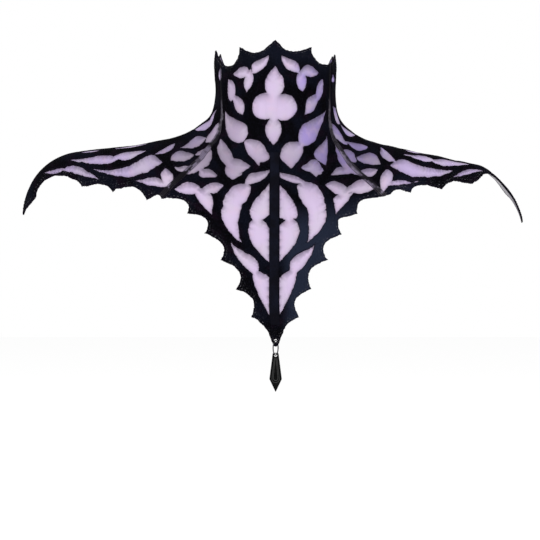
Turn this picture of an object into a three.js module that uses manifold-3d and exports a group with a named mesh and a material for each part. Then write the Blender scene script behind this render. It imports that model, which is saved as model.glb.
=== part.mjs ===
// Tulle neckpiece: a high pointed collar with two shoulder wings and a pointed bib.
// A lilac tulle ground carries black velvet tracery cut with leaf-shaped windows. The seams
// between the front and the two sides are taped, the centre back closes under a plain strip,
// and a spear drop hangs from a wire ring at the point of the bib.
//
// Millimetres, +Z up, front towards -Y. The origin is on the neck axis at the collar's base.
//
// Every cloth piece is drawn flat in a chart and then laid on one curved form. The chart is
//   azimuth  degrees round the neck axis, 0 at the front, + to the +X side, 180 at the back
//   drop     millimetres along the cloth, down from the level of the collar's top
import * as THREE from 'three';
import { mergeVertices } from 'three/addons/utils/BufferGeometryUtils.js';
import Module from 'manifold-3d';

const wasm = await Module();
wasm.setup();

// ---------------------------------------------------------------- driving dimensions (mm, deg)
const TOP_HEIGHT = 92;        // height of drop 0 above the collar's base
const CHART_LENGTH = 290;     // longest drop that the form is worked out for
const TULLE = 1.0;            // wall of the tulle ground
const GAP = 0.55;             // space between one layer and the next
const TRACERY = 1.1;          // wall of the velvet tracery
const TAPE = 0.8;             // wall of the seam tape
const TAPE_WIDTH = 3.2;
const EDGE_GAP = 0.4;         // space between neighbours in one layer
const STRIP = 0.9;            // wall of the centre strip
const STRIP_WIDTH = 7.4;
const STRIP_FROM = 97;        // drop of the centre strip's upper end
const STRIP_TO = 246;         // and of its lower end
const BAR_WIDTH = 8.6;        // black upright that the strip lies on
const CLOSURE_WIDTH = 12;
const FACE = 2.1;             // the form is the velvet's face, this far outside the cloth's inner face
// The -X wing sits higher and the +X one lower, in two rises out from the neck.
const LIFTS = [{ by: 2.5, from: 42, over: 22 }, { by: 2.5, from: 105, over: 75 }];
const SHORTER = { by: 3, from: 110, over: 80 };   // the +X wing reaches this much less far
const DROOP = { by: 5, from: 176, over: 30 };     // and its end hangs this much lower
const CHORD = 0.33;          // how far a facet may stray from the form
const DEG = Math.PI / 180;

// The form: how steeply the cloth leaves the vertical, in degrees, at each drop, for sections
// at these azimuths. The other side mirrors it.
const FORM_DROPS = [0, 40, 60, 72, 84, 96, 110, 130, 160, 190, 215, 235, 255, 290];
const FORM = [
  // azimuth, radius at the top, slope at each drop
  { azimuth: 0, radius: 57.1, slope: [-4, -3, -2, -1, 0, 10, 16, 17, 18, 16, 15, 13, 11, 5] },
  { azimuth: 30, radius: 56.7, slope: [-5, -2, -1, 0, 11, 21, 24, 21, 21, 19, 19, 19, 17, 16] },
  { azimuth: 45, radius: 56.2, slope: [-6, -2, 1, -1, 27, 41, 33, 29, 25, 25, 23, 22, 20, 20] },
  { azimuth: 60, radius: 55.0, slope: [-5, -1, 0, 20, 47, 58, 48, 43, 29, 26, 24, 22, 20, 19] },
  { azimuth: 75, radius: 53.6, slope: [-5, -1, 10, 40, 52, 67, 71, 72, 61, 59, 42, 29, 24, 15] },
  { azimuth: 82.5, radius: 53.7, slope: [-4, -1, 12, 50, 59, 69, 75, 77, 78, 73, 53, 31, 11, 8] },
  { azimuth: 90, radius: 53.4, slope: [-3, -2, 16, 51, 54, 72, 82, 79, 81, 80, 51, 27, 12, 6] },
  { azimuth: 97.5, radius: 52.8, slope: [-2, -1, 15, 53, 60, 67, 80, 77, 80, 72, 45, 24, 16, 16] },
  { azimuth: 105, radius: 52.2, slope: [0, -3, 20, 51, 53, 68, 73, 74, 67, 57, 38, 26, 19, 18] },
  { azimuth: 120, radius: 50.6, slope: [0, 0, 7, 42, 60, 59, 58, 42, 28, 24, 17, 14, 10, 6] },
  { azimuth: 135, radius: 49.6, slope: [0, 2, 6, 19, 47, 43, 37, 25, 19, 14, 7, 3, -2, -7] },
  { azimuth: 150, radius: 48.8, slope: [0, 3, 6, 12, 30, 29, 28, 25, 15, 10, 9, 9, 8, 7] },
  { azimuth: 180, radius: 48.0, slope: [1, 4, 7, 10, 22, 23, 21, 19, 11, 10, 8, 6, 5, 3] },
];

// The collar's top edge: points, with the hollow between each point and the next.
const COLLAR_TOP = {
  // point azimuth, point drop, hollow azimuth, hollow drop, roundness of the hollow
  left: [
    { at: 0, drop: 2.8, hollow: 16.4, low: 13.4, round: 1 },
    { at: 33.2, drop: 8, hollow: 46.4, low: 23.5, round: 0.91 },
    { at: 77, drop: 8.6, hollow: 94, low: 23.5, round: 0.85 },
    { at: 110, drop: 8.5, hollow: 127, low: 23, round: 0.85 },
    { at: 145, drop: 11, hollow: 164, low: 24, round: 0.85 },
    { at: 180, drop: 22 },
  ],
  right: [
    { at: 0, drop: 2.8, hollow: 13.6, low: 12.2, round: 1.1 },
    { at: 33.2, drop: 8, hollow: 49.8, low: 21.6, round: 0.7 },
    { at: 78, drop: 10, hollow: 93, low: 22, round: 0.85 },
    { at: 106, drop: 9.5, hollow: 127, low: 23, round: 0.85 },
    { at: 145, drop: 11, hollow: 164, low: 24, round: 0.85 },
    { at: 180, drop: 22 },
  ],
};

// The hem, from the point of the bib out over the wing and round to the centre back: barbs,
// with the hollow between each barb and the next.
const HEM = {
  left: [
    { at: 0, drop: 263.8, hollow: 0.5, low: 263.7, round: 0.8 },
    { at: 1, drop: 263, hollow: 5.5, low: 247.8, round: 0.75 },
    { at: 12.1, drop: 239.6, hollow: 11.8, low: 224.3, round: 0.92 },
    { at: 20.5, drop: 217.1, hollow: 19.6, low: 202.1, round: 0.85 },
    { at: 29.3, drop: 193.9, hollow: 29.6, low: 180.1, round: 0.8 },
    { at: 38.6, drop: 176, hollow: 39.1, low: 164, round: 0.89 },
    { at: 47.7, drop: 163.8, hollow: 50.6, low: 154.2, round: 0.79 },
    { at: 58.5, drop: 160.6, hollow: 60.4, low: 159.5, round: 0.82 },
    { at: 62.3, drop: 167.9, hollow: 66.9, low: 165.5, round: 0.73 },
    { at: 69.6, drop: 181.3, hollow: 72.5, low: 183.9, round: 1.11 },
    { at: 74.6, drop: 198.8, hollow: 80.7, low: 212.3, round: 0.54 },
    { at: 80.8, drop: 236.7, hollow: 81.9, low: 249, round: 0.8 },
    { at: 85, drop: 262.3, hollow: 89.4, low: 246, round: 0.8 },
    { at: 95, drop: 228, hollow: 97.5, low: 205, round: 0.8 },
    { at: 103.5, drop: 187, hollow: 106.5, low: 175, round: 0.8 },
    { at: 110, drop: 170, hollow: 113.6, low: 158, round: 0.8 },
    { at: 118, drop: 158, hollow: 126.5, low: 147, round: 0.8 },
    { at: 136, drop: 150, hollow: 143.5, low: 139, round: 0.8 },
    { at: 151, drop: 144, hollow: 158.5, low: 134, round: 0.8 },
    { at: 166, drop: 141, hollow: 173.5, low: 132.5, round: 0.8 },
    { at: 180, drop: 142 },
  ],
  right: [
    { at: 0, drop: 263.8, hollow: 0.5, low: 263.7, round: 0.8 },
    { at: 1, drop: 263, hollow: 5.6, low: 246, round: 0.89 },
    { at: 11.6, drop: 239.9, hollow: 10.3, low: 225.6, round: 0.94 },
    { at: 18.6, drop: 216.5, hollow: 19, low: 200.5, round: 0.86 },
    { at: 28.3, drop: 193.2, hollow: 27.6, low: 180.1, round: 0.97 },
    { at: 36.8, drop: 172.1, hollow: 37.4, low: 159.6, round: 0.98 },
    { at: 46, drop: 157.5, hollow: 49.9, low: 147.3, round: 1.08 },
    { at: 58.6, drop: 156, hollow: 61.1, low: 156.8, round: 0.89 },
    { at: 62.6, drop: 166.3, hollow: 66.1, low: 166.6, round: 0.89 },
    { at: 69.2, drop: 182.8, hollow: 73.1, low: 186.1, round: 0.84 },
    { at: 74.4, drop: 200.9, hollow: 80.4, low: 209, round: 0.75 },
    { at: 80.4, drop: 222, hollow: 79, low: 238, round: 0.8 },
    { at: 81.5, drop: 261, hollow: 83.6, low: 243, round: 0.8 },
    { at: 85.8, drop: 232, hollow: 87, low: 214, round: 0.8 },
    { at: 89, drop: 199, hollow: 93, low: 186, round: 0.8 },
    { at: 98.5, drop: 181, hollow: 101.2, low: 171, round: 0.8 },
    { at: 106, drop: 163, hollow: 109.8, low: 153, round: 0.8 },
    { at: 116, drop: 150, hollow: 126.5, low: 144, round: 0.8 },
    { at: 136, drop: 150, hollow: 143.5, low: 139, round: 0.8 },
    { at: 151, drop: 144, hollow: 158.5, low: 134, round: 0.8 },
    { at: 166, drop: 141, hollow: 173.5, low: 132.5, round: 0.8 },
    { at: 180, drop: 142 },
  ],
};

// The seam between the front panel and a side panel.
const SEAM = [
  { drop: 0, azimuth: 61.5 }, { drop: 40, azimuth: 62.8 }, { drop: 57, azimuth: 61.3 },
  { drop: 72, azimuth: 59.3 }, { drop: 87, azimuth: 55.2 }, { drop: 102, azimuth: 53.3 },
  { drop: 112, azimuth: 52.9 }, { drop: 122, azimuth: 54.2 }, { drop: 130, azimuth: 55.3 },
  { drop: 146, azimuth: 57.6 }, { drop: 170, azimuth: 60 },
];

// The windows of the tracery, each a leaf between two tips with a bulge on either side. The two
// sides are drawn apart, as the real cloth is pulled a little out of true.
// Columns: name, azimuth and drop of tip one, tip two, side one and side two, then the
// roundness of each side.
const FRONT_WINDOWS = {
  left: [
    ['cross_arm', 21.6, 59.3, -9.4, 59.7, 8.3, 47, 9.6, 69.1, 0.46, 0.39],
    ['upper_trefoil_a', 5.9, 15.4, 21.2, 30.3, 20.3, 21.9, 10.4, 25.9, 0.89, 0.68],
    ['upper_trefoil_b', 42.6, 30.1, 22.4, 30.6, 30.1, 24.3, 33.5, 34.2, 0.81, 0.96],
    ['upper_trefoil_c', 22.7, 26.6, 27.1, 46.3, 29.6, 36.1, 20.1, 36.4, 0.81, 0.84],
    ['collar_pair_a', 49.5, 33.8, 45.2, 53.1, 39.1, 41.7, 50.8, 46.9, 0.84, 0.94],
    ['collar_pair_b', 31.5, 64.9, 46.3, 46.4, 31.2, 53.1, 39.5, 60.5, 0.95, 1.06],
    ['collar_leaf', 55.3, 59.8, 29.2, 87.3, 27.5, 73.8, 46.9, 82, 0.7, 0.69],
    ['heart_a', 28.5, 86.9, 4.7, 101.2, 15.1, 87.4, 17.6, 103.7, 0.79, 0.64],
    ['heart_b', 28.2, 90.3, 13.6, 108.6, 15.5, 96.4, 21.2, 99.7, 0.85, 0.87],
    ['neck_leaf', 52.1, 85.4, 30.1, 116, 36.2, 100.1, 45.4, 103.2, 0.68, 0.91],
    ['base_leaf_a', 20.5, 108.6, 36.7, 118.1, 35.5, 103.3, 30.2, 118.4, 0.58, 0.8],
    ['base_leaf_b', 37.6, 111.8, 31.3, 122.5, 25.2, 116.8, 36.2, 118.4, 0.84, 0.93],
    ['seam_long', 54.6, 96.5, 54.5, 131.6, 47.5, 113, 54, 112, 0.85, 0.8],
    ['seam_leaf', 40.8, 122.3, 50.2, 124.3, 46.3, 119.5, 47.5, 129.3, 0.73, 0.73],
    ['hem_trefoil_a', 55.9, 148.2, 46.7, 137.9, 52.6, 138, 48.7, 147.2, 0.92, 0.92],
    ['hem_trefoil_b', 35.9, 128.7, 45.4, 139.9, 42, 130, 39.5, 138.4, 0.77, 0.96],
    ['hem_trefoil_c', 44.8, 138, 37.5, 157.7, 46.6, 147.2, 39, 143.8, 0.81, 0.86],
    ['throat_leaf', 3.4, 110.7, 22.7, 124.6, 20, 115.6, 11.3, 121.4, 0.82, 0.81],
    ['crescent', 18.6, 126.1, 20, 176.7, 33.7, 149.2, 23.6, 152.6, 0.77, 0.88],
    ['crescent_head', 18.5, 126.6, 33.5, 145.8, 29.9, 127.8, 22.2, 142.5, 0.74, 0.8],
    ['bib_upper', 4.3, 122.3, 14, 157.4, 16.7, 143.8, 1.5, 145.5, 0.7, 0.96],
    ['bib_upper_foot', 3.8, 137.4, 10.5, 156.9, 9.8, 144.3, 3.5, 148.6, 0.85, 0.74],
    ['bib_middle', 11.8, 152.2, 0.7, 195.8, 16.2, 170.7, 0.6, 172.8, 0.8, 0.76],
    ['bib_side', 25.8, 177.3, 10.2, 204.5, 11, 190.9, 19.5, 194, 0.86, 0.85],
    ['bib_lower', 11.5, 200.3, 1.3, 242.9, 11.3, 212.1, 0.8, 211.8, 0.84, 0.74],
  ],
  right: [
    ['cross_arm', 20.2, 58.6, -8.5, 58.9, 7.6, 47.7, 7.5, 70.4, 0.57, 0.52],
    ['upper_trefoil_a', 5.4, 15.8, 21.7, 29.9, 19.6, 21.7, 9.4, 26.3, 0.71, 0.67],
    ['upper_trefoil_b', 43.7, 28.8, 21.1, 30.6, 30, 23.1, 35.2, 33.1, 0.88, 0.94],
    ['upper_trefoil_c', 24.2, 26.5, 25.7, 45.6, 29.2, 35.7, 18.6, 36.8, 0.93, 0.82],
    ['collar_pair_a', 50.1, 34.2, 41.3, 55.1, 40.9, 41.1, 49.9, 45.5, 0.88, 1.04],
    ['collar_pair_b', 27.7, 65, 46.1, 47.7, 31.9, 50.3, 39, 59.6, 0.99, 1.05],
    ['collar_leaf', 56, 59.1, 21.9, 90.3, 25.1, 74.1, 37, 86.5, 0.83, 0.99],
    ['heart_a', 26.6, 89.7, 4.1, 101.2, 10.4, 88.8, 13.6, 105.3, 0.71, 0.91],
    ['heart_b', 24.8, 89.9, 12.9, 110.9, 6.1, 100, 22.3, 100.4, 0.99, 1.05],
    ['neck_leaf', 52.1, 78.6, 38.8, 110.7, 33, 97.6, 42.7, 101.2, 0.92, 1.06],
    ['base_leaf_a', 20.6, 110.3, 34.6, 117.2, 33.4, 103.9, 30.1, 117.4, 0.72, 0.89],
    ['base_leaf_b', 35.8, 111.7, 30.5, 119.8, 25.7, 117.7, 35.7, 115.8, 1.05, 1.06],
    ['seam_long', 53, 91, 55, 127, 48, 111, 53, 108, 0.8, 0.8],
    ['seam_leaf', 39.6, 120.3, 53.3, 120.4, 47, 113.6, 49.2, 121.1, 0.85, 0.99],
    ['hem_trefoil_a', 57, 143.5, 45.2, 133.2, 53.8, 129.8, 49.5, 141.1, 1.1, 1.07],
    ['hem_trefoil_b', 34.5, 128, 46.8, 136.8, 42.6, 126.9, 40.1, 137.4, 0.74, 0.95],
    ['hem_trefoil_c', 47.6, 138.5, 36.2, 155.4, 37.5, 152.4, 38.3, 139.3, 1.03, 1.05],
    ['throat_leaf', -1.2, 112.6, 24.6, 125, 15.2, 117.5, 10.5, 122.3, 0.89, 0.88],
    ['crescent', 18.8, 125.4, 18.8, 176.4, 31.8, 151.2, 21.5, 153.3, 0.87, 0.98],
    ['crescent_head', 16.5, 125.7, 32.1, 148.9, 29, 126.5, 21.9, 147.1, 0.91, 0.59],
    ['bib_upper', 3.5, 125.1, 13.7, 154.9, 13.8, 142.3, -4.3, 148.8, 0.63, 1.05],
    ['bib_upper_foot', 4.2, 136.6, 10.3, 157.8, 9, 144.4, 1.9, 150, 0.81, 0.76],
    ['bib_middle', 10.1, 153.3, 0.4, 195.3, 14.4, 169.8, -2.1, 172.4, 1, 0.72],
    ['bib_side', 22.9, 178.8, 8.4, 205.2, 9.8, 189.8, 16.8, 195.1, 1, 1.07],
    ['bib_lower', 11.4, 196.3, 0.4, 241.6, 10, 213, -0.1, 212, 0.99, 0.95],
  ],
};
// On the centre line.
const CENTRE_WINDOWS = [
  ['cross_top', -0.1, 24.4, -0.8, 53.4, 7.9, 40.6, -9.4, 40.2, 0.87, 0.82],
  ['cross_foot', -1.2, 64.5, -1.7, 90.6, 5.9, 77.8, -9.5, 77.4, 1.04, 0.88],
];
// On the front half of each shoulder.
const WING_WINDOWS = {
  left: [
    ['wing_upper_a', 83.6, 198.3, 77.4, 157, 81.3, 165, 77.5, 171.6, 1.05, 1.04],
    ['wing_upper_b', 78.8, 159.9, 76.5, 128.3, 80, 146.9, 74.8, 151.1, 0.88, 0.82],
    ['wing_long', 77.3, 181.4, 66.1, 132.2, 72.9, 133.7, 69.2, 159.3, 0.98, 0.98],
    ['wing_end_a', 84.2, 220, 80.8, 201.3, 82, 207.1, 81.2, 212.2, 1.02, 0.95],
    ['wing_end_b', 80.7, 204.6, 73.9, 182.9, 79.8, 191.3, 78.3, 197, 0.92, 0.83],
    ['wing_low_a', 68, 160.6, 58, 147.8, 64, 146.9, 61.7, 153, 1.06, 1.07],
    ['wing_low_b', 63.4, 135, 57.9, 149.2, 62.9, 143.4, 58.8, 138.3, 0.82, 0.85],
    ['wing_mid', 72, 131.4, 76.2, 107.5, 75.8, 111.7, 70, 117.5, 0.9, 0.88],
    ['slope_a', 68.7, 111.2, 61.5, 89.9, 72.8, 90, 59.4, 103.9, 1.04, 1.06],
    ['slope_b', 63.5, 70, 58, 96, 65.5, 80, 56, 85, 0.8, 0.8],
    ['slope_c', 64.5, 126.4, 57.5, 111.8, 66.4, 114.7, 58.3, 120, 0.94, 0.9],
    ['slope_d', 86.5, 84.5, 76.3, 63, 84.5, 76, 71, 80.5, 0.8, 0.85],
    ['slope_e', 79.6, 69.5, 70.3, 57.1, 85.7, 64, 72.6, 59, 0.81, 0.81],
    ['slope_f', 61, 130, 54.5, 122, 56.5, 131, 58, 126, 0.8, 0.8],
    ['slope_g', 57, 112, 53.5, 97, 56, 105, 52, 107, 0.8, 0.8],
    ['collar_side', 64, 24, 67.5, 35, 58, 29, 73, 29, 0.8, 0.8],
  ],
  right: [
    ['wing_upper_a', 85.3, 195.4, 78.8, 156.5, 83.1, 171, 76.9, 171.9, 0.84, 0.77],
    ['wing_upper_b', 78.6, 158.9, 77.7, 127.2, 81.7, 146.3, 76.1, 152.7, 0.68, 0.69],
    ['wing_long', 76.2, 180.2, 68, 130.6, 74.2, 133.4, 67.9, 159.7, 0.95, 0.91],
    ['wing_end_a', 83.6, 214.6, 81.7, 198.3, 84.2, 213, 82.3, 209.7, 0.81, 0.85],
    ['wing_end_b', 80.5, 205.7, 74, 183.4, 79.5, 192, 78.1, 196.8, 0.91, 0.74],
    ['wing_low_a', 66.8, 163.2, 58.3, 143.3, 63.3, 147.7, 61.5, 151.5, 1, 1.04],
    ['wing_low_b', 65.2, 131.7, 56.3, 150.1, 63.8, 142.3, 60.1, 137.1, 0.58, 0.85],
    ['wing_mid', 71.1, 131.5, 81.3, 105.5, 80.1, 108.5, 70, 118.7, 0.81, 0.8],
    ['slope_a', 73.6, 102.4, 64.7, 87.2, 74.8, 94.4, 63.5, 102.3, 0.77, 0.98],
    ['slope_b', 63, 70, 62.5, 93, 68.5, 77, 58, 84, 0.8, 0.8],
    ['slope_c', 65.5, 125.2, 59, 108.2, 69.8, 109.4, 59.3, 116.4, 1.08, 0.71],
    ['slope_d', 86.8, 82.9, 78.1, 66.1, 83.3, 75.9, 73.4, 82.2, 0.91, 0.87],
    ['slope_e', 81.5, 67.1, 68.2, 55.1, 88.9, 56, 71.2, 69.9, 0.92, 0.92],
    ['slope_f', 55.5, 122, 62.5, 128, 57.5, 131, 59.5, 123, 0.8, 0.8],
    ['slope_g', 56, 97, 56.5, 113, 59.5, 101, 54, 108, 0.8, 0.8],
    ['collar_side', 72.1, 26.6, 69.6, 34.9, 82.4, 31.7, 67.2, 35, 0.93, 0.92],
  ],
};
// On the shoulder's ridge and the plain back, the same on both sides.
const BACK_WINDOWS = [
  ['back_upper_a', 95.5, 172, 100.8, 151, 97, 160, 100.2, 162, 0.8, 0.8],
  ['back_upper_b', 100.8, 148.5, 102.3, 124, 99.8, 137, 103.6, 142, 0.8, 0.8],
  ['back_long', 105, 150, 112, 129, 107, 136, 109.4, 144, 0.8, 0.8],
  ['back_low', 115.6, 133, 119.8, 141, 116.2, 138.5, 119.8, 135.5, 0.8, 0.8],
  ['back_mid', 108.1, 127.7, 104.4, 103.1, 100.9, 114, 107.9, 117.5, 0.8, 0.8],
  ['back_slope_a', 111, 108.3, 118.3, 90.2, 102.7, 89.4, 117.1, 104.3, 0.8, 0.8],
  ['back_slope_b', 118.9, 93.1, 119, 69.8, 114.9, 81.3, 122.8, 87.4, 0.8, 0.8],
  ['back_slope_c', 113.8, 125.5, 123.3, 108.8, 111.7, 112.1, 120.3, 119.3, 0.8, 0.8],
  ['back_slope_d', 94, 84, 99.3, 66.7, 92.2, 72, 104.5, 77, 0.8, 0.8],
  ['back_slope_e', 95.8, 67.8, 108.9, 52.9, 93, 59.5, 106.4, 61.4, 0.8, 0.8],
  ['ridge_a', 90, 90, 90, 108, 94, 99, 87, 99, 0.8, 0.8],
  ['ridge_b', 88.5, 112, 87.5, 160, 94, 133, 83.2, 138, 0.8, 0.8],
  ['ridge_c', 87.2, 163, 88.8, 191, 91, 176, 84.7, 176, 0.8, 0.8],
  ['collar_ridge', 90, 30, 90, 54, 97, 42, 83, 42, 0.8, 0.8],
  ['back_collar_a', 118, 26, 118, 50, 127, 39, 109, 39, 0.8, 0.8],
  ['back_collar_b', 144, 34, 143, 66, 153, 50, 134, 50, 0.8, 0.8],
  ['back_collar_c', 164, 30, 164, 58, 171, 44, 157, 44, 0.8, 0.8],
  ['back_yoke_a', 131, 68, 128, 100, 139, 84, 122, 84, 0.8, 0.8],
  ['back_yoke_b', 159, 70, 157, 118, 169, 94, 147, 94, 0.8, 0.8],
  ['back_yoke_c', 137, 104, 137, 132, 145, 119, 130, 117, 0.8, 0.8],
];

// The +X wing has slipped back a little on the shoulder: extra azimuth and drop there.
const SLIP = [
  { drop: 0, turn: 0, rise: 0 }, { drop: 132, turn: 0, rise: 0 },
  { drop: 165, turn: 3.2, rise: 5 }, { drop: 195, turn: 3.4, rise: 5 },
  { drop: 225, turn: 7.0, rise: 5 }, { drop: 290, turn: 7.0, rise: 5 },
];

// Ring and drop.
const EYE_DROP = 258.8;       // the ring's hole, measured along the cloth
const EYE_RADIUS = 1.25;
const RING_RADIUS = 6.0;      // to the middle of the wire
const RING_WIRE = 0.5;        // radius of the wire
const RING_TURN = 20;         // the ring's plane, off the fore-and-aft one
const DROP_HOLE = 1.35;       // radius of the hole near the drop's top
const DROP_OUTLINE = [
  // height from the ring's lowest wire, half width
  { z: 1.9, half: 1.3 }, { z: 1.3, half: 2.45 }, { z: -19.6, half: 5.1 }, { z: -29.8, half: 0.25 },
];
const DROP_TOP_HALF_THICK = 1.1;
const DROP_LOW_HALF_THICK = 2.6;

// ---------------------------------------------------------------- the form
const between = (x, a, b) => Math.min(Math.max(x, a), b);
const smooth = (t) => t * t * (3 - 2 * t);

// Value of a table at x, straight between its rows.
function lookUp(xs, ys, x) {
  if (x <= xs[0]) return ys[0];
  for (let i = 1; i < xs.length; i++) {
    if (x <= xs[i]) return ys[i - 1] + (ys[i] - ys[i - 1]) * (x - xs[i - 1]) / (xs[i] - xs[i - 1]);
  }
  return ys[ys.length - 1];
}

// Smooth value between the sections; the rows mirror at 0 and at 180 degrees.
function acrossSections(azimuth, value) {
  const n = FORM.length;
  const rowAzimuth = (i) => i < 0 ? -FORM[-i].azimuth
    : i >= n ? 360 - FORM[2 * n - 2 - i].azimuth : FORM[i].azimuth;
  const rowValue = (i) => value(FORM[i < 0 ? -i : i >= n ? 2 * n - 2 - i : i]);
  let i = 0;
  while (i < n - 2 && azimuth >= FORM[i + 1].azimuth) i++;
  const [x0, x1, x2, x3] = [i - 1, i, i + 1, i + 2].map(rowAzimuth);
  const [y0, y1, y2, y3] = [i - 1, i, i + 1, i + 2].map(rowValue);
  const m1 = ((y1 - y0) / (x1 - x0) * (x2 - x1) + (y2 - y1) / (x2 - x1) * (x1 - x0)) / (x2 - x0);
  const m2 = ((y2 - y1) / (x2 - x1) * (x3 - x2) + (y3 - y2) / (x3 - x2) * (x2 - x1)) / (x3 - x1);
  const h = x2 - x1, t = (azimuth - x1) / h, t2 = t * t, t3 = t2 * t;
  return (2 * t3 - 3 * t2 + 1) * y1 + (t3 - 2 * t2 + t) * h * m1
    + (-2 * t3 + 3 * t2) * y2 + (t3 - t2) * h * m2;
}

// One section as radius and height at every millimetre of drop.
const AZIMUTH_STEP = 0.5;
const sectionCache = [];
function section(k) {
  if (sectionCache[k]) return sectionCache[k];
  const azimuth = k * AZIMUTH_STEP;
  const slopes = FORM_DROPS.map((_, j) => acrossSections(azimuth, (row) => row.slope[j]));
  const radius = [acrossSections(azimuth, (row) => row.radius)], height = [TOP_HEIGHT];
  for (let s = 1; s <= CHART_LENGTH; s++) {
    const a = DEG * (lookUp(FORM_DROPS, slopes, s - 1) + lookUp(FORM_DROPS, slopes, s)) / 2;
    radius.push(radius[s - 1] + Math.sin(a));
    height.push(height[s - 1] - Math.cos(a));
  }
  return (sectionCache[k] = { radius, height });
}

function radiusAndHeight(azimuth, drop) {
  const a = between(Math.abs(azimuth), 0, 179.9999) / AZIMUTH_STEP, i = Math.floor(a), f = a - i;
  const b = between(drop, 0, CHART_LENGTH - 1e-6), j = Math.floor(b), g = b - j;
  const one = section(i), two = section(i + 1);
  const mix = (key) => (one[key][j] * (1 - g) + one[key][j + 1] * g) * (1 - f)
    + (two[key][j] * (1 - g) + two[key][j + 1] * g) * f;
  return [mix('radius'), mix('height')];
}

function skin(azimuth, drop) {
  const [r, z] = radiusAndHeight(azimuth, drop);
  const x = r * Math.sin(azimuth * DEG), y = -r * Math.cos(azimuth * DEG);
  const built = ({ by, from, over }, at) => by * smooth(between((at - from) / over, 0, 1));
  const up = LIFTS.reduce((sum, lift) => sum + built(lift, Math.abs(x)), 0);
  return new THREE.Vector3(x - built(SHORTER, x), y, z - up * Math.sign(x) - built(DROOP, x));
}

function outwardAt(azimuth, drop) {
  const side = skin(azimuth + 0.4, drop).sub(skin(azimuth - 0.4, drop));
  const down = skin(azimuth, Math.min(drop + 1, CHART_LENGTH - 0.01)).sub(skin(azimuth, Math.max(drop - 1, 0)));
  return down.cross(side).normalize();
}

// A point of the cloth: azimuth, drop, and height above the inner face.
function onForm(azimuth, drop, height) {
  return skin(azimuth, drop).addScaledVector(outwardAt(azimuth, drop), height - FACE);
}

// ---------------------------------------------------------------- drawing in the chart
const U = 1.5;                 // chart millimetres for one degree
const toChart = ([azimuth, drop]) => new THREE.Vector2(azimuth * U, -drop);

// The side of a leaf, a hollow of the hem or a scallop: from tip to tip, bulging through side.
function bulge(from, to, side, roundness, steps) {
  const [r] = radiusAndHeight((from[0] + to[0]) / 2, (from[1] + to[1]) / 2);
  const k = r * DEG;
  const c = [(to[0] - from[0]) * k, to[1] - from[1]];
  const m = [(side[0] - from[0]) * k, side[1] - from[1]];
  const length = Math.hypot(c[0], c[1]);
  const t = between((c[0] * m[0] + c[1] * m[1]) / (length * length), 0.15, 0.85);
  const h = (c[0] * m[1] - c[1] * m[0]) / length;
  const power = Math.log(0.5) / Math.log(t);
  const points = [];
  for (let i = 0; i <= steps; i++) {
    const w = (1 - Math.cos(Math.PI * i / steps)) / 2;
    const rise = i === 0 || i === steps ? 0 : h * Math.sin(Math.PI * w ** power) ** roundness;
    points.push([
      from[0] + (c[0] * w - c[1] / length * rise) / k,
      from[1] + c[1] * w + c[0] / length * rise,
    ]);
  }
  return points;
}

const slip = (drop, key) => lookUp(SLIP.map((row) => row.drop), SLIP.map((row) => row[key]), drop);
// A point of the drawing on one side of the wearer: side -1 is -X, side +1 is +X.
function onSide(side, [azimuth, drop]) {
  if (side < 0) return [-azimuth, drop];
  const fade = between((180 - azimuth) / 60, 0, 1);
  const reach = between((azimuth - 50) / 10, 0, 1) * fade;
  return [azimuth + slip(drop, 'turn') * reach, drop - slip(drop, 'rise') * reach];
}

function edge(rows, steps) {
  const points = [[rows[0].at, rows[0].drop]];
  for (let i = 1; i < rows.length; i++) {
    const a = rows[i - 1], b = rows[i];
    points.push(...bulge([a.at, a.drop], [b.at, b.drop], [a.hollow, a.low], a.round, steps).slice(1));
  }
  return points;
}

function garmentOutline() {
  const run = (side, table) => edge(table[side < 0 ? 'left' : 'right'], 4).map((p) => onSide(side, p));
  return [
    ...run(-1, COLLAR_TOP).reverse(), ...run(1, COLLAR_TOP).slice(1),
    ...run(1, HEM).reverse(), ...run(-1, HEM).slice(1),
  ];
}

const SEAM_STEPS = 14;
// The seam line on one side, moved by `shift` millimetres round the neck, away from the front.
function seamLine(side, shift) {
  const points = [];
  for (let i = 0; i <= SEAM_STEPS; i++) {
    const drop = -6 + i * 186 / SEAM_STEPS;
    const azimuth = lookUp(SEAM.map((row) => row.drop), SEAM.map((row) => row.azimuth), drop);
    const [r] = radiusAndHeight(azimuth, Math.max(drop, 0));
    points.push([side * (azimuth + shift / (r * DEG)), drop]);
  }
  return points;
}

// The upright at the front runs a little to the -X side of the centre, down to the bib's point.
const uprightAt = (drop) => -0.75 * smooth(between((258 - drop) / 32, 0, 1));
// A straight band down the front, of a given width.
function band(width, fromDrop, toDrop, steps) {
  const leftEdge = [], rightEdge = [];
  for (let i = 0; i <= steps; i++) {
    const drop = fromDrop + (toDrop - fromDrop) * i / steps;
    const [r] = radiusAndHeight(0, Math.max(drop, 0)), azimuth = uprightAt(drop);
    leftEdge.push([azimuth - width / 2 / (r * DEG), drop]);
    rightEdge.push([azimuth + width / 2 / (r * DEG), drop]);
  }
  return [...leftEdge, ...rightEdge.reverse()];
}

// ---------------------------------------------------------------- flat slabs, cut and joined
function manifoldOf(geometry) {
  geometry.deleteAttribute('normal');
  geometry.deleteAttribute('uv');
  const merged = mergeVertices(geometry, 1e-5);
  return new wasm.Manifold(new wasm.Mesh({
    numProp: 3,
    vertProperties: new Float32Array(merged.attributes.position.array),
    triVerts: new Uint32Array(merged.index.array),
  }));
}

// A closed chart outline as a slab from height `low` to height `high` above the inner face.
function slab(outline, low, high) {
  const shape = new THREE.Shape(outline.map(toChart));
  const geometry = new THREE.ExtrudeGeometry(shape, { depth: high - low, bevelEnabled: false });
  geometry.translate(0, 0, low);
  return manifoldOf(geometry);
}

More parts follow.
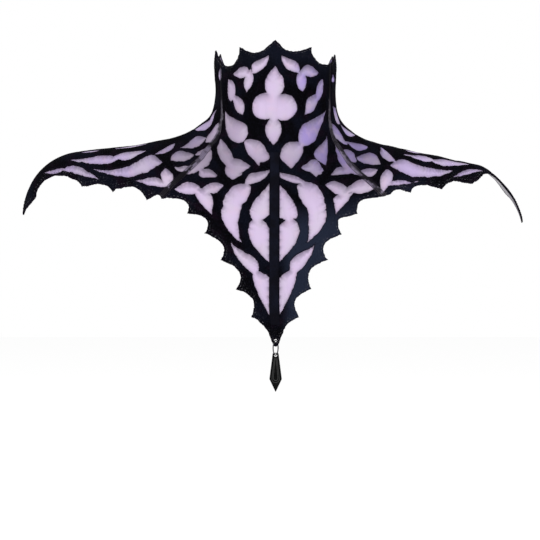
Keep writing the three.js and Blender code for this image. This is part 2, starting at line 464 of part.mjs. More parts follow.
const LONG_LEAF = 30;         // leaves longer than this get one more step a side
function leaf([, a1, d1, a2, d2, a3, d3, a4, d4, roundOne, roundTwo]) {
  const [r] = radiusAndHeight((a1 + a2) / 2, (d1 + d2) / 2);
  const steps = Math.hypot((a2 - a1) * r * DEG, d2 - d1) > LONG_LEAF ? 4 : 3;
  const one = bulge([a1, d1], [a2, d2], [a3, d3], roundOne, steps);
  const two = bulge([a2, d2], [a1, d1], [a4, d4], roundTwo, steps);
  return [...one.slice(0, -1), ...two.slice(0, -1)];
}

const LOW = -2, HIGH = 8;     // prisms that cut run past both faces
const cutter = (outline) => slab(outline, LOW, HIGH);

function windowsOn(side, rows) {
  return rows.map((row) => cutter(leaf(row).map((p) => onSide(side, p))));
}

// ---------------------------------------------------------------- from the chart to the form
// Lays a closed chart mesh on the form: edges that stray from it by more than CHORD are halved,
// and the facets of each face are kept well shaped by swapping the diagonals between them.
const KEY = 1e6;
const keyOf = (a, b) => (a < b ? a * KEY + b : b * KEY + a);

function layOnForm(solid) {
  const mesh = solid.getMesh();
  const flat = [];
  for (let i = 0; i < mesh.numVert; i++) {
    flat.push([0, 1, 2].map((k) => mesh.vertProperties[i * mesh.numProp + k]));
  }
  const place = ([u, v, w]) => onForm(u / U, -v, w);
  const space = flat.map(place);
  let triangles = [];
  for (let i = 0; i < mesh.triVerts.length; i += 3) {
    triangles.push([mesh.triVerts[i], mesh.triVerts[i + 1], mesh.triVerts[i + 2]]);
  }
  const mixed = (a, b, t) => flat[a].map((x, k) => x + (flat[b][k] - x) * t);
  const stray = (a, b) => {
    let worst = 0;
    for (const t of [0.25, 0.5, 0.75]) {
      const point = mixed(a, b, t);
      const off = place(point).sub(space[a].clone().lerp(space[b], t));
      worst = Math.max(worst, Math.abs(off.dot(outwardAt(point[0] / U, -point[1]))));
    }
    return worst;
  };
  const edgesOf = () => {
    const owners = new Map();
    triangles.forEach((tri, t) => {
      for (let k = 0; k < 3; k++) {
        const key = keyOf(tri[k], tri[(k + 1) % 3]);
        const own = owners.get(key);
        if (own) own.push(t); else owners.set(key, [t]);
      }
    });
    return owners;
  };
  const turn = (a, b, c) => (flat[b][0] - flat[a][0]) * (flat[c][1] - flat[a][1])
    - (flat[b][1] - flat[a][1]) * (flat[c][0] - flat[a][0]);
  const cornerAngle = (at, p, q) =>
    space[p].clone().sub(space[at]).angleTo(space[q].clone().sub(space[at]));

  function swapDiagonals() {
    for (let sweep = 0; sweep < 12; sweep++) {
      const owners = edgesOf(), busy = new Set();
      let swaps = 0;
      for (const [key, own] of owners) {
        if (own.length !== 2 || busy.has(own[0]) || busy.has(own[1])) continue;
        const a = Math.floor(key / KEY), b = key % KEY;
        const c = triangles[own[0]].find((v) => v !== a && v !== b);
        const d = triangles[own[1]].find((v) => v !== a && v !== b);
        const level = flat[a][2];
        if ([b, c, d].some((v) => Math.abs(flat[v][2] - level) > 1e-6)) continue;
        if (owners.has(keyOf(c, d))) continue;
        // The four corners have to make a convex figure.
        const one = turn(c, d, a), two = turn(c, d, b), three = turn(a, b, c), four = turn(a, b, d);
        if (!(one * two < -1e-6 && three * four < -1e-6)) continue;
        if (cornerAngle(c, a, b) + cornerAngle(d, a, b) < Math.PI + 1e-4) continue;
        // The first triangle runs a, b, c or b, a, c: keep the way round.
        const i = triangles[own[0]].indexOf(a);
        const forward = triangles[own[0]][(i + 1) % 3] === b;
        triangles[own[0]] = forward ? [a, d, c] : [a, c, d];
        triangles[own[1]] = forward ? [b, c, d] : [b, d, c];
        owners.set(keyOf(c, d), []);
        busy.add(own[0]); busy.add(own[1]);
        swaps++;
      }
      if (!swaps) break;
    }
  }

  const strays = new Map();
  for (let pass = 0; pass < 40; pass++) {
    if (pass < 30) swapDiagonals();
    const owners = edgesOf(), far = [];
    for (const key of owners.keys()) {
      if (!strays.has(key)) strays.set(key, stray(Math.floor(key / KEY), key % KEY));
      if (strays.get(key) > CHORD) far.push([strays.get(key), key]);
    }
    if (!far.length) break;
    far.sort((p, q) => q[0] - p[0] || p[1] - q[1]);
    const busy = new Set(), added = [];
    for (const [, key] of far) {
      const both = owners.get(key);
      if (both.some((t) => busy.has(t))) continue;
      const a = Math.floor(key / KEY), b = key % KEY, middle = flat.length;
      flat.push(mixed(a, b, 0.5));
      space.push(place(flat[middle]));
      for (const t of both) {
        busy.add(t);
        const tri = triangles[t];
        added.push(tri.map((v) => (v === a ? middle : v)), tri.map((v) => (v === b ? middle : v)));
      }
    }
    triangles = triangles.filter((_, t) => !busy.has(t)).concat(added);
  }
  const geometry = new THREE.BufferGeometry();
  geometry.setAttribute('position', new THREE.Float32BufferAttribute(space.flatMap((p) => p.toArray()), 3));
  geometry.setIndex(triangles.flat());
  geometry.computeVertexNormals();
  return geometry;
}

// ---------------------------------------------------------------- the cloth pieces
const TRACERY_LOW = TULLE + GAP;
const TRACERY_HIGH = TRACERY_LOW + TRACERY;
const STRIP_LOW = TRACERY_HIGH + GAP;
const outline = garmentOutline();

// The chart area of one panel, with `inset` left free at its seams.
function frontArea(inset) {
  return [...seamLine(-1, -inset), [0, 300], ...seamLine(1, -inset).reverse()];
}
function sideArea(side, inset, backInset) {
  const seam = seamLine(side, inset);
  const foot = seam[seam.length - 1];
  const back = [];
  for (const drop of [-6, 20, 60, 90, 120, 180]) {
    const [r] = radiusAndHeight(180, Math.max(drop, 0));
    back.push([side * (180 - backInset / (r * DEG)), drop]);
  }
  return [...seam, [foot[0], 300], [side * 178, 300], ...back.reverse()];
}
const eyeHole = (() => {
  const points = [];
  const [r] = radiusAndHeight(0, EYE_DROP);
  for (let i = 0; i < 12; i++) {
    const a = (i + 0.5) / 12 * 2 * Math.PI;
    points.push([EYE_RADIUS * Math.cos(a) / (r * DEG), EYE_DROP + EYE_RADIUS * Math.sin(a)]);
  }
  return cutter(points);
})();

const panel = (area, low, high) => slab(outline, low, high).intersect(cutter(area));
const halfTape = TAPE_WIDTH / 2 + EDGE_GAP;

const tulleFront = panel(frontArea(EDGE_GAP / 2), 0, TULLE).subtract(eyeHole);
const tulleSide = (side) => panel(sideArea(side, EDGE_GAP / 2, EDGE_GAP / 2), 0, TULLE);

const bar = cutter(band(BAR_WIDTH, 86, 262, 10));
const frontWindows = wasm.Manifold.union([
  ...windowsOn(-1, FRONT_WINDOWS.left), ...windowsOn(1, FRONT_WINDOWS.right),
  ...windowsOn(1, CENTRE_WINDOWS),
]);
const crossFoot = windowsOn(1, CENTRE_WINDOWS.slice(1));
const tracedFront = panel(frontArea(halfTape), TRACERY_LOW, TRACERY_HIGH)
  .subtract(frontWindows.subtract(bar.subtract(wasm.Manifold.union(crossFoot)))).subtract(eyeHole);
const tracedSide = (side) => panel(sideArea(side, halfTape, CLOSURE_WIDTH / 2 + EDGE_GAP), TRACERY_LOW, TRACERY_HIGH)
  .subtract(wasm.Manifold.union(windowsOn(side,
    [...WING_WINDOWS[side < 0 ? 'left' : 'right'], ...BACK_WINDOWS])));
const seamTape = (side) => slab(outline, TRACERY_LOW, TRACERY_LOW + TAPE)
  .intersect(cutter([...seamLine(side, -TAPE_WIDTH / 2), ...seamLine(side, TAPE_WIDTH / 2).reverse()]));
const centreStrip = slab(band(STRIP_WIDTH, STRIP_FROM, STRIP_TO, 12), STRIP_LOW, STRIP_LOW + STRIP);
// The closure crosses the chart's end, so it is drawn about the back's own centre line.
const BACK_STEPS = 10;
function closureOutline() {
  const up = [], down = [];
  for (let i = 0; i <= BACK_STEPS; i++) {
    const drop = 22.5 + (141 - 22.5) * i / BACK_STEPS;
    const [r] = radiusAndHeight(180, drop);
    down.push([180 - CLOSURE_WIDTH / 2 / (r * DEG), drop]);
    up.push([180 + CLOSURE_WIDTH / 2 / (r * DEG), drop]);
  }
  return [...down, ...up.reverse()];
}

// ---------------------------------------------------------------- the ring and the drop
const eye = onForm(0, EYE_DROP, (TRACERY_HIGH) / 2);
const ringCentre = new THREE.Vector3(eye.x, eye.y, eye.z - RING_RADIUS);
const ringGeometry = new THREE.TorusGeometry(RING_RADIUS, RING_WIRE, 6, 24);
// A torus lies in its own XY plane: this stands it upright, near the fore-and-aft plane.
ringGeometry.rotateY(Math.PI / 2);
ringGeometry.rotateZ(-RING_TURN * DEG);

function dropSolid() {
  const shape = new THREE.Shape();
  DROP_OUTLINE.forEach(({ z, half }, i) => (i ? shape.lineTo(half, z) : shape.moveTo(half, z)));
  [...DROP_OUTLINE].reverse().forEach(({ z, half }) => shape.lineTo(-half, z));
  shape.closePath();
  const thick = 2 * DROP_LOW_HALF_THICK;
  const body = new THREE.ExtrudeGeometry(shape, { depth: thick, bevelEnabled: false });
  body.translate(0, 0, -thick / 2);
  // The facets: a ridge down each face and edges that taper, cut by two long wedges.
  let solid = manifoldOf(body);
  const tall = DROP_OUTLINE[0].z - DROP_OUTLINE[3].z;
  for (const face of [1, -1]) {
    for (const hand of [1, -1]) {
      const wedge = new THREE.BoxGeometry(40, tall * 3, 20);
      // Its inner face passes through the ridge line and falls away to the side.
      wedge.translate(0, 0, 10);
      const ridgeTop = DROP_TOP_HALF_THICK, ridgeLow = DROP_LOW_HALF_THICK;
      const lean = Math.atan2(ridgeLow - ridgeTop, 21.5);
      wedge.rotateY(hand * 16 * DEG);
      wedge.rotateX(-lean);
      wedge.translate(0, -20.0, ridgeLow);
      if (face < 0) wedge.rotateY(Math.PI);
      solid = solid.subtract(manifoldOf(wedge));
      const tip = new THREE.BoxGeometry(40, 60, 20);
      tip.translate(0, 0, 10);
      tip.rotateY(hand * 16 * DEG);
      tip.rotateX(Math.atan2(ridgeLow - 0.3, 10.4));
      tip.translate(0, -20.0, ridgeLow);
      if (face < 0) tip.rotateY(Math.PI);
      solid = solid.subtract(manifoldOf(tip));
    }
  }
  const hole = new THREE.CylinderGeometry(DROP_HOLE, DROP_HOLE, 12, 16);
  hole.rotateX(Math.PI / 2);
  solid = solid.subtract(manifoldOf(hole));
  const mesh = solid.getMesh();
  const geometry = new THREE.BufferGeometry();
  geometry.setAttribute('position', new THREE.Float32BufferAttribute(mesh.vertProperties, 3));
  geometry.setIndex([...mesh.triVerts]);
  geometry.rotateX(Math.PI / 2);
  geometry.computeVertexNormals();
  return geometry;
}

// ---------------------------------------------------------------- the assembly
const colours = {
  tulle: { color: 0xcbbad8, roughness: 0.85, metalness: 0 },
  velvet: { color: 0x0e0c15, roughness: 0.95, metalness: 0 },
  tape: { color: 0x8d8794, roughness: 0.7, metalness: 0 },
  metal: { color: 0x3c3c40, roughness: 0.3, metalness: 0.9 },
  jet: { color: 0x161617, roughness: 0.25, metalness: 0.1 },
};
const group = new THREE.Group();
function add(name, geometry, look, position) {
  const mesh = new THREE.Mesh(geometry, new THREE.MeshStandardMaterial(colours[look]));
  mesh.name = name;
  if (position) mesh.position.copy(position);
  group.add(mesh);
}

add('tulle_front', layOnForm(tulleFront), 'tulle');
add('tulle_side_left', layOnForm(tulleSide(-1)), 'tulle');
add('tulle_side_right', layOnForm(tulleSide(1)), 'tulle');
add('tracery_front', layOnForm(tracedFront), 'velvet');
add('tracery_side_left', layOnForm(tracedSide(-1)), 'velvet');
add('tracery_side_right', layOnForm(tracedSide(1)), 'velvet');
add('seam_tape_left', layOnForm(seamTape(-1)), 'tape');
add('seam_tape_right', layOnForm(seamTape(1)), 'tape');
add('centre_strip', layOnForm(centreStrip), 'velvet');
add('back_closure', layOnForm(slab(closureOutline(), TRACERY_LOW, TRACERY_LOW + TRACERY)), 'velvet');
add('jump_ring', ringGeometry, 'metal', ringCentre);
add('drop', dropSolid(), 'jet', new THREE.Vector3(ringCentre.x, ringCentre.y, ringCentre.z - RING_RADIUS));

export default group;
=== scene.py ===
# Looks of the tulle neckpiece: sheer lilac panels under black velvet tracery, seam tapes, a
# centre strip, a back closure, edge stitching, and a faceted drop on a wire ring.
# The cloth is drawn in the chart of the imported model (azimuth in degrees, drop in millimetres
# along the cloth), meshed there, and laid on the same form. Lengths are millimetres until put().
import math

import bpy
import numpy as np
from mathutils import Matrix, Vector
from mathutils.geometry import delaunay_2d_cdt
from mathutils.kdtree import KDTree


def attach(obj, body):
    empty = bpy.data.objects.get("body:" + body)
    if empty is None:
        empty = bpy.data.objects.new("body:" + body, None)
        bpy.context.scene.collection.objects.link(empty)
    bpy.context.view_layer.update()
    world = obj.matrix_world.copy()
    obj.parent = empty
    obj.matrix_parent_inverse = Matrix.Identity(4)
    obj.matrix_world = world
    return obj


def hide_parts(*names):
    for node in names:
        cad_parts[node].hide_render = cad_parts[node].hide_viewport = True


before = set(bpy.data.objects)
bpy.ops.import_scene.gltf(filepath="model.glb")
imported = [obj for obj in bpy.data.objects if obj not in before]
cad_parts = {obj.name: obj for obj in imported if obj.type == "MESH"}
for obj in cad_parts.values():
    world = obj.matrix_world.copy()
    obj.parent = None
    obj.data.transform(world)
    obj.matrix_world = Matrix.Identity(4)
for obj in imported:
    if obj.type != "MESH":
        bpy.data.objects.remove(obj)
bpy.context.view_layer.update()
scene = bpy.context.scene
DEG = math.pi / 180

# ------------------------------------------------------------------ camera
camera_data = bpy.data.cameras.new("camera")
camera = bpy.data.objects.new("camera", camera_data)
scene.collection.objects.link(camera)
scene.camera = camera
camera_data.sensor_width = 36
camera_data.lens = 155.04
camera_data.clip_start, camera_data.clip_end = 0.05, 60
camera.location = (-0.0046, -2.0, -0.1032)
camera.rotation_euler = (math.pi / 2, 0, 0)

# ------------------------------------------------------------------ the form
TOP_HEIGHT, CHART_LENGTH = 92, 290
LIFTS, SHORTER, DROOP = [(2.5, 42, 22), (2.5, 105, 75)], (3, 110, 80), (5, 176, 30)      # by, from, over
FACE = 2.1           # the form is the velvet's face, this far outside the cloth's inner face
FORM_DROPS = [0, 40, 60, 72, 84, 96, 110, 130, 160, 190, 215, 235, 255, 290]
FORM = [  # azimuth, radius at the top, slope at each drop
    (0, 57.1, [-4, -3, -2, -1, 0, 10, 16, 17, 18, 16, 15, 13, 11, 5]),
    (30, 56.7, [-5, -2, -1, 0, 11, 21, 24, 21, 21, 19, 19, 19, 17, 16]),
    (45, 56.2, [-6, -2, 1, -1, 27, 41, 33, 29, 25, 25, 23, 22, 20, 20]),
    (60, 55.0, [-5, -1, 0, 20, 47, 58, 48, 43, 29, 26, 24, 22, 20, 19]),
    (75, 53.6, [-5, -1, 10, 40, 52, 67, 71, 72, 61, 59, 42, 29, 24, 15]),
    (82.5, 53.7, [-4, -1, 12, 50, 59, 69, 75, 77, 78, 73, 53, 31, 11, 8]),
    (90, 53.4, [-3, -2, 16, 51, 54, 72, 82, 79, 81, 80, 51, 27, 12, 6]),
    (97.5, 52.8, [-2, -1, 15, 53, 60, 67, 80, 77, 80, 72, 45, 24, 16, 16]),
    (105, 52.2, [0, -3, 20, 51, 53, 68, 73, 74, 67, 57, 38, 26, 19, 18]),
    (120, 50.6, [0, 0, 7, 42, 60, 59, 58, 42, 28, 24, 17, 14, 10, 6]),
    (135, 49.6, [0, 2, 6, 19, 47, 43, 37, 25, 19, 14, 7, 3, -2, -7]),
    (150, 48.8, [0, 3, 6, 12, 30, 29, 28, 25, 15, 10, 9, 9, 8, 7]),
    (180, 48.0, [1, 4, 7, 10, 22, 23, 21, 19, 11, 10, 8, 6, 5, 3]),
]
COLLAR_TOP = {  # point azimuth and drop, then the hollow's, and its roundness
    -1: [
        (0, 2.8, 16.4, 13.4, 1),
        (33.2, 8, 46.4, 23.5, 0.91),
        (77, 8.6, 94, 23.5, 0.85),
        (110, 8.5, 127, 23, 0.85),
        (145, 11, 164, 24, 0.85),
        (180, 22, 0, 0, 0.85),
    ],
    1: [
        (0, 2.8, 13.6, 12.2, 1.1),
        (33.2, 8, 49.8, 21.6, 0.7),
        (78, 10, 93, 22, 0.85),
        (106, 9.5, 127, 23, 0.85),
        (145, 11, 164, 24, 0.85),
        (180, 22, 0, 0, 0.85),
    ],
}
HEM = {  # barb azimuth and drop, then the hollow's, and its roundness
    -1: [
        (0, 263.8, 0.5, 263.7, 0.8),
        (1, 263, 5.5, 247.8, 0.75),
        (12.1, 239.6, 11.8, 224.3, 0.92),
        (20.5, 217.1, 19.6, 202.1, 0.85),
        (29.3, 193.9, 29.6, 180.1, 0.8),
        (38.6, 176, 39.1, 164, 0.89),
        (47.7, 163.8, 50.6, 154.2, 0.79),
        (58.5, 160.6, 60.4, 159.5, 0.82),
        (62.3, 167.9, 66.9, 165.5, 0.73),
        (69.6, 181.3, 72.5, 183.9, 1.11),
        (74.6, 198.8, 80.7, 212.3, 0.54),
        (80.8, 236.7, 81.9, 249, 0.8),
        (85, 262.3, 89.4, 246, 0.8),
        (95, 228, 97.5, 205, 0.8),
        (103.5, 187, 106.5, 175, 0.8),
        (110, 170, 113.6, 158, 0.8),
        (118, 158, 126.5, 147, 0.8),
        (136, 150, 143.5, 139, 0.8),
        (151, 144, 158.5, 134, 0.8),
        (166, 141, 173.5, 132.5, 0.8),
        (180, 142, 0, 0, 0.8),
    ],
    1: [
        (0, 263.8, 0.5, 263.7, 0.8),
        (1, 263, 5.6, 246, 0.89),
        (11.6, 239.9, 10.3, 225.6, 0.94),
        (18.6, 216.5, 19, 200.5, 0.86),
        (28.3, 193.2, 27.6, 180.1, 0.97),
        (36.8, 172.1, 37.4, 159.6, 0.98),
        (46, 157.5, 49.9, 147.3, 1.08),
        (58.6, 156, 61.1, 156.8, 0.89),
        (62.6, 166.3, 66.1, 166.6, 0.89),
        (69.2, 182.8, 73.1, 186.1, 0.84),
        (74.4, 200.9, 80.4, 209, 0.75),
        (80.4, 222, 79, 238, 0.8),
        (81.5, 261, 83.6, 243, 0.8),
        (85.8, 232, 87, 214, 0.8),
        (89, 199, 93, 186, 0.8),
        (98.5, 181, 101.2, 171, 0.8),
        (106, 163, 109.8, 153, 0.8),
        (116, 150, 126.5, 144, 0.8),
        (136, 150, 143.5, 139, 0.8),
        (151, 144, 158.5, 134, 0.8),
        (166, 141, 173.5, 132.5, 0.8),
        (180, 142, 0, 0, 0.8),
    ],
}
SEAM = [(0, 61.5), (40, 62.8), (57, 61.3), (72, 59.3), (87, 55.2), (102, 53.3),
        (112, 52.9), (122, 54.2), (130, 55.3), (146, 57.6), (170, 60)]
# Windows: tip one, tip two, side one, side two as azimuth and drop, then the two roundnesses.
FRONT_WINDOWS = {
    -1: {
        "cross_arm": (21.6, 59.3, -9.4, 59.7, 8.3, 47, 9.6, 69.1, 0.46, 0.39),
        "upper_trefoil_a": (5.9, 15.4, 21.2, 30.3, 20.3, 21.9, 10.4, 25.9, 0.89, 0.68),
        "upper_trefoil_b": (42.6, 30.1, 22.4, 30.6, 30.1, 24.3, 33.5, 34.2, 0.81, 0.96),
        "upper_trefoil_c": (22.7, 26.6, 27.1, 46.3, 29.6, 36.1, 20.1, 36.4, 0.81, 0.84),
        "collar_pair_a": (49.5, 33.8, 45.2, 53.1, 39.1, 41.7, 50.8, 46.9, 0.84, 0.94),
        "collar_pair_b": (31.5, 64.9, 46.3, 46.4, 31.2, 53.1, 39.5, 60.5, 0.95, 1.06),
        "collar_leaf": (55.3, 59.8, 29.2, 87.3, 27.5, 73.8, 46.9, 82, 0.7, 0.69),
        "heart_a": (28.5, 86.9, 4.7, 101.2, 15.1, 87.4, 17.6, 103.7, 0.79, 0.64),
        "heart_b": (28.2, 90.3, 13.6, 108.6, 15.5, 96.4, 21.2, 99.7, 0.85, 0.87),
        "neck_leaf": (52.1, 85.4, 30.1, 116, 36.2, 100.1, 45.4, 103.2, 0.68, 0.91),
        "base_leaf_a": (20.5, 108.6, 36.7, 118.1, 35.5, 103.3, 30.2, 118.4, 0.58, 0.8),
        "base_leaf_b": (37.6, 111.8, 31.3, 122.5, 25.2, 116.8, 36.2, 118.4, 0.84, 0.93),
        "seam_long": (54.6, 96.5, 54.5, 131.6, 47.5, 113, 54, 112, 0.85, 0.8),
        "seam_leaf": (40.8, 122.3, 50.2, 124.3, 46.3, 119.5, 47.5, 129.3, 0.73, 0.73),
        "hem_trefoil_a": (55.9, 148.2, 46.7, 137.9, 52.6, 138, 48.7, 147.2, 0.92, 0.92),
        "hem_trefoil_b": (35.9, 128.7, 45.4, 139.9, 42, 130, 39.5, 138.4, 0.77, 0.96),
        "hem_trefoil_c": (44.8, 138, 37.5, 157.7, 46.6, 147.2, 39, 143.8, 0.81, 0.86),
        "throat_leaf": (3.4, 110.7, 22.7, 124.6, 20, 115.6, 11.3, 121.4, 0.82, 0.81),
        "crescent": (18.6, 126.1, 20, 176.7, 33.7, 149.2, 23.6, 152.6, 0.77, 0.88),
        "crescent_head": (18.5, 126.6, 33.5, 145.8, 29.9, 127.8, 22.2, 142.5, 0.74, 0.8),
        "bib_upper": (4.3, 122.3, 14, 157.4, 16.7, 143.8, 1.5, 145.5, 0.7, 0.96),
        "bib_upper_foot": (3.8, 137.4, 10.5, 156.9, 9.8, 144.3, 3.5, 148.6, 0.85, 0.74),
        "bib_middle": (11.8, 152.2, 0.7, 195.8, 16.2, 170.7, 0.6, 172.8, 0.8, 0.76),
        "bib_side": (25.8, 177.3, 10.2, 204.5, 11, 190.9, 19.5, 194, 0.86, 0.85),
        "bib_lower": (11.5, 200.3, 1.3, 242.9, 11.3, 212.1, 0.8, 211.8, 0.84, 0.74),
    },
    1: {
        "cross_arm": (20.2, 58.6, -8.5, 58.9, 7.6, 47.7, 7.5, 70.4, 0.57, 0.52),
        "upper_trefoil_a": (5.4, 15.8, 21.7, 29.9, 19.6, 21.7, 9.4, 26.3, 0.71, 0.67),
        "upper_trefoil_b": (43.7, 28.8, 21.1, 30.6, 30, 23.1, 35.2, 33.1, 0.88, 0.94),
        "upper_trefoil_c": (24.2, 26.5, 25.7, 45.6, 29.2, 35.7, 18.6, 36.8, 0.93, 0.82),
        "collar_pair_a": (50.1, 34.2, 41.3, 55.1, 40.9, 41.1, 49.9, 45.5, 0.88, 1.04),
        "collar_pair_b": (27.7, 65, 46.1, 47.7, 31.9, 50.3, 39, 59.6, 0.99, 1.05),
        "collar_leaf": (56, 59.1, 21.9, 90.3, 25.1, 74.1, 37, 86.5, 0.83, 0.99),
        "heart_a": (26.6, 89.7, 4.1, 101.2, 10.4, 88.8, 13.6, 105.3, 0.71, 0.91),
        "heart_b": (24.8, 89.9, 12.9, 110.9, 6.1, 100, 22.3, 100.4, 0.99, 1.05),
        "neck_leaf": (52.1, 78.6, 38.8, 110.7, 33, 97.6, 42.7, 101.2, 0.92, 1.06),
        "base_leaf_a": (20.6, 110.3, 34.6, 117.2, 33.4, 103.9, 30.1, 117.4, 0.72, 0.89),
        "base_leaf_b": (35.8, 111.7, 30.5, 119.8, 25.7, 117.7, 35.7, 115.8, 1.05, 1.06),
        "seam_long": (53, 91, 55, 127, 48, 111, 53, 108, 0.8, 0.8),
        "seam_leaf": (39.6, 120.3, 53.3, 120.4, 47, 113.6, 49.2, 121.1, 0.85, 0.99),
        "hem_trefoil_a": (57, 143.5, 45.2, 133.2, 53.8, 129.8, 49.5, 141.1, 1.1, 1.07),
        "hem_trefoil_b": (34.5, 128, 46.8, 136.8, 42.6, 126.9, 40.1, 137.4, 0.74, 0.95),
        "hem_trefoil_c": (47.6, 138.5, 36.2, 155.4, 37.5, 152.4, 38.3, 139.3, 1.03, 1.05),
        "throat_leaf": (-1.2, 112.6, 24.6, 125, 15.2, 117.5, 10.5, 122.3, 0.89, 0.88),
        "crescent": (18.8, 125.4, 18.8, 176.4, 31.8, 151.2, 21.5, 153.3, 0.87, 0.98),
        "crescent_head": (16.5, 125.7, 32.1, 148.9, 29, 126.5, 21.9, 147.1, 0.91, 0.59),
        "bib_upper": (3.5, 125.1, 13.7, 154.9, 13.8, 142.3, -4.3, 148.8, 0.63, 1.05),
        "bib_upper_foot": (4.2, 136.6, 10.3, 157.8, 9, 144.4, 1.9, 150, 0.81, 0.76),
        "bib_middle": (10.1, 153.3, 0.4, 195.3, 14.4, 169.8, -2.1, 172.4, 1, 0.72),
        "bib_side": (22.9, 178.8, 8.4, 205.2, 9.8, 189.8, 16.8, 195.1, 1, 1.07),
        "bib_lower": (11.4, 196.3, 0.4, 241.6, 10, 213, -0.1, 212, 0.99, 0.95),
    },
}
CENTRE_WINDOWS = {
    "cross_top": (-0.1, 24.4, -0.8, 53.4, 7.9, 40.6, -9.4, 40.2, 0.87, 0.82),
    "cross_foot": (-1.2, 64.5, -1.7, 90.6, 5.9, 77.8, -9.5, 77.4, 1.04, 0.88),
}
WING_WINDOWS = {
    -1: {
        "wing_upper_a": (83.6, 198.3, 77.4, 157, 81.3, 165, 77.5, 171.6, 1.05, 1.04),
        "wing_upper_b": (78.8, 159.9, 76.5, 128.3, 80, 146.9, 74.8, 151.1, 0.88, 0.82),
        "wing_long": (77.3, 181.4, 66.1, 132.2, 72.9, 133.7, 69.2, 159.3, 0.98, 0.98),
        "wing_end_a": (84.2, 220, 80.8, 201.3, 82, 207.1, 81.2, 212.2, 1.02, 0.95),
        "wing_end_b": (80.7, 204.6, 73.9, 182.9, 79.8, 191.3, 78.3, 197, 0.92, 0.83),
        "wing_low_a": (68, 160.6, 58, 147.8, 64, 146.9, 61.7, 153, 1.06, 1.07),
        "wing_low_b": (63.4, 135, 57.9, 149.2, 62.9, 143.4, 58.8, 138.3, 0.82, 0.85),
        "wing_mid": (72, 131.4, 76.2, 107.5, 75.8, 111.7, 70, 117.5, 0.9, 0.88),
        "slope_a": (68.7, 111.2, 61.5, 89.9, 72.8, 90, 59.4, 103.9, 1.04, 1.06),
        "slope_b": (63.5, 70, 58, 96, 65.5, 80, 56, 85, 0.8, 0.8),
        "slope_c": (64.5, 126.4, 57.5, 111.8, 66.4, 114.7, 58.3, 120, 0.94, 0.9),
        "slope_d": (86.5, 84.5, 76.3, 63, 84.5, 76, 71, 80.5, 0.8, 0.85),
        "slope_e": (79.6, 69.5, 70.3, 57.1, 85.7, 64, 72.6, 59, 0.81, 0.81),
        "slope_f": (61, 130, 54.5, 122, 56.5, 131, 58, 126, 0.8, 0.8),
        "slope_g": (57, 112, 53.5, 97, 56, 105, 52, 107, 0.8, 0.8),
        "collar_side": (64, 24, 67.5, 35, 58, 29, 73, 29, 0.8, 0.8),
    },
    1: {
        "wing_upper_a": (85.3, 195.4, 78.8, 156.5, 83.1, 171, 76.9, 171.9, 0.84, 0.77),
        "wing_upper_b": (78.6, 158.9, 77.7, 127.2, 81.7, 146.3, 76.1, 152.7, 0.68, 0.69),
        "wing_long": (76.2, 180.2, 68, 130.6, 74.2, 133.4, 67.9, 159.7, 0.95, 0.91),
        "wing_end_a": (83.6, 214.6, 81.7, 198.3, 84.2, 213, 82.3, 209.7, 0.81, 0.85),
        "wing_end_b": (80.5, 205.7, 74, 183.4, 79.5, 192, 78.1, 196.8, 0.91, 0.74),
        "wing_low_a": (66.8, 163.2, 58.3, 143.3, 63.3, 147.7, 61.5, 151.5, 1, 1.04),
        "wing_low_b": (65.2, 131.7, 56.3, 150.1, 63.8, 142.3, 60.1, 137.1, 0.58, 0.85),
        "wing_mid": (71.1, 131.5, 81.3, 105.5, 80.1, 108.5, 70, 118.7, 0.81, 0.8),
        "slope_a": (73.6, 102.4, 64.7, 87.2, 74.8, 94.4, 63.5, 102.3, 0.77, 0.98),
        "slope_b": (63, 70, 62.5, 93, 68.5, 77, 58, 84, 0.8, 0.8),
        "slope_c": (65.5, 125.2, 59, 108.2, 69.8, 109.4, 59.3, 116.4, 1.08, 0.71),
        "slope_d": (86.8, 82.9, 78.1, 66.1, 83.3, 75.9, 73.4, 82.2, 0.91, 0.87),
        "slope_e": (81.5, 67.1, 68.2, 55.1, 88.9, 56, 71.2, 69.9, 0.92, 0.92),
        "slope_f": (55.5, 122, 62.5, 128, 57.5, 131, 59.5, 123, 0.8, 0.8),
        "slope_g": (56, 97, 56.5, 113, 59.5, 101, 54, 108, 0.8, 0.8),
        "collar_side": (72.1, 26.6, 69.6, 34.9, 82.4, 31.7, 67.2, 35, 0.93, 0.92),
    },
}
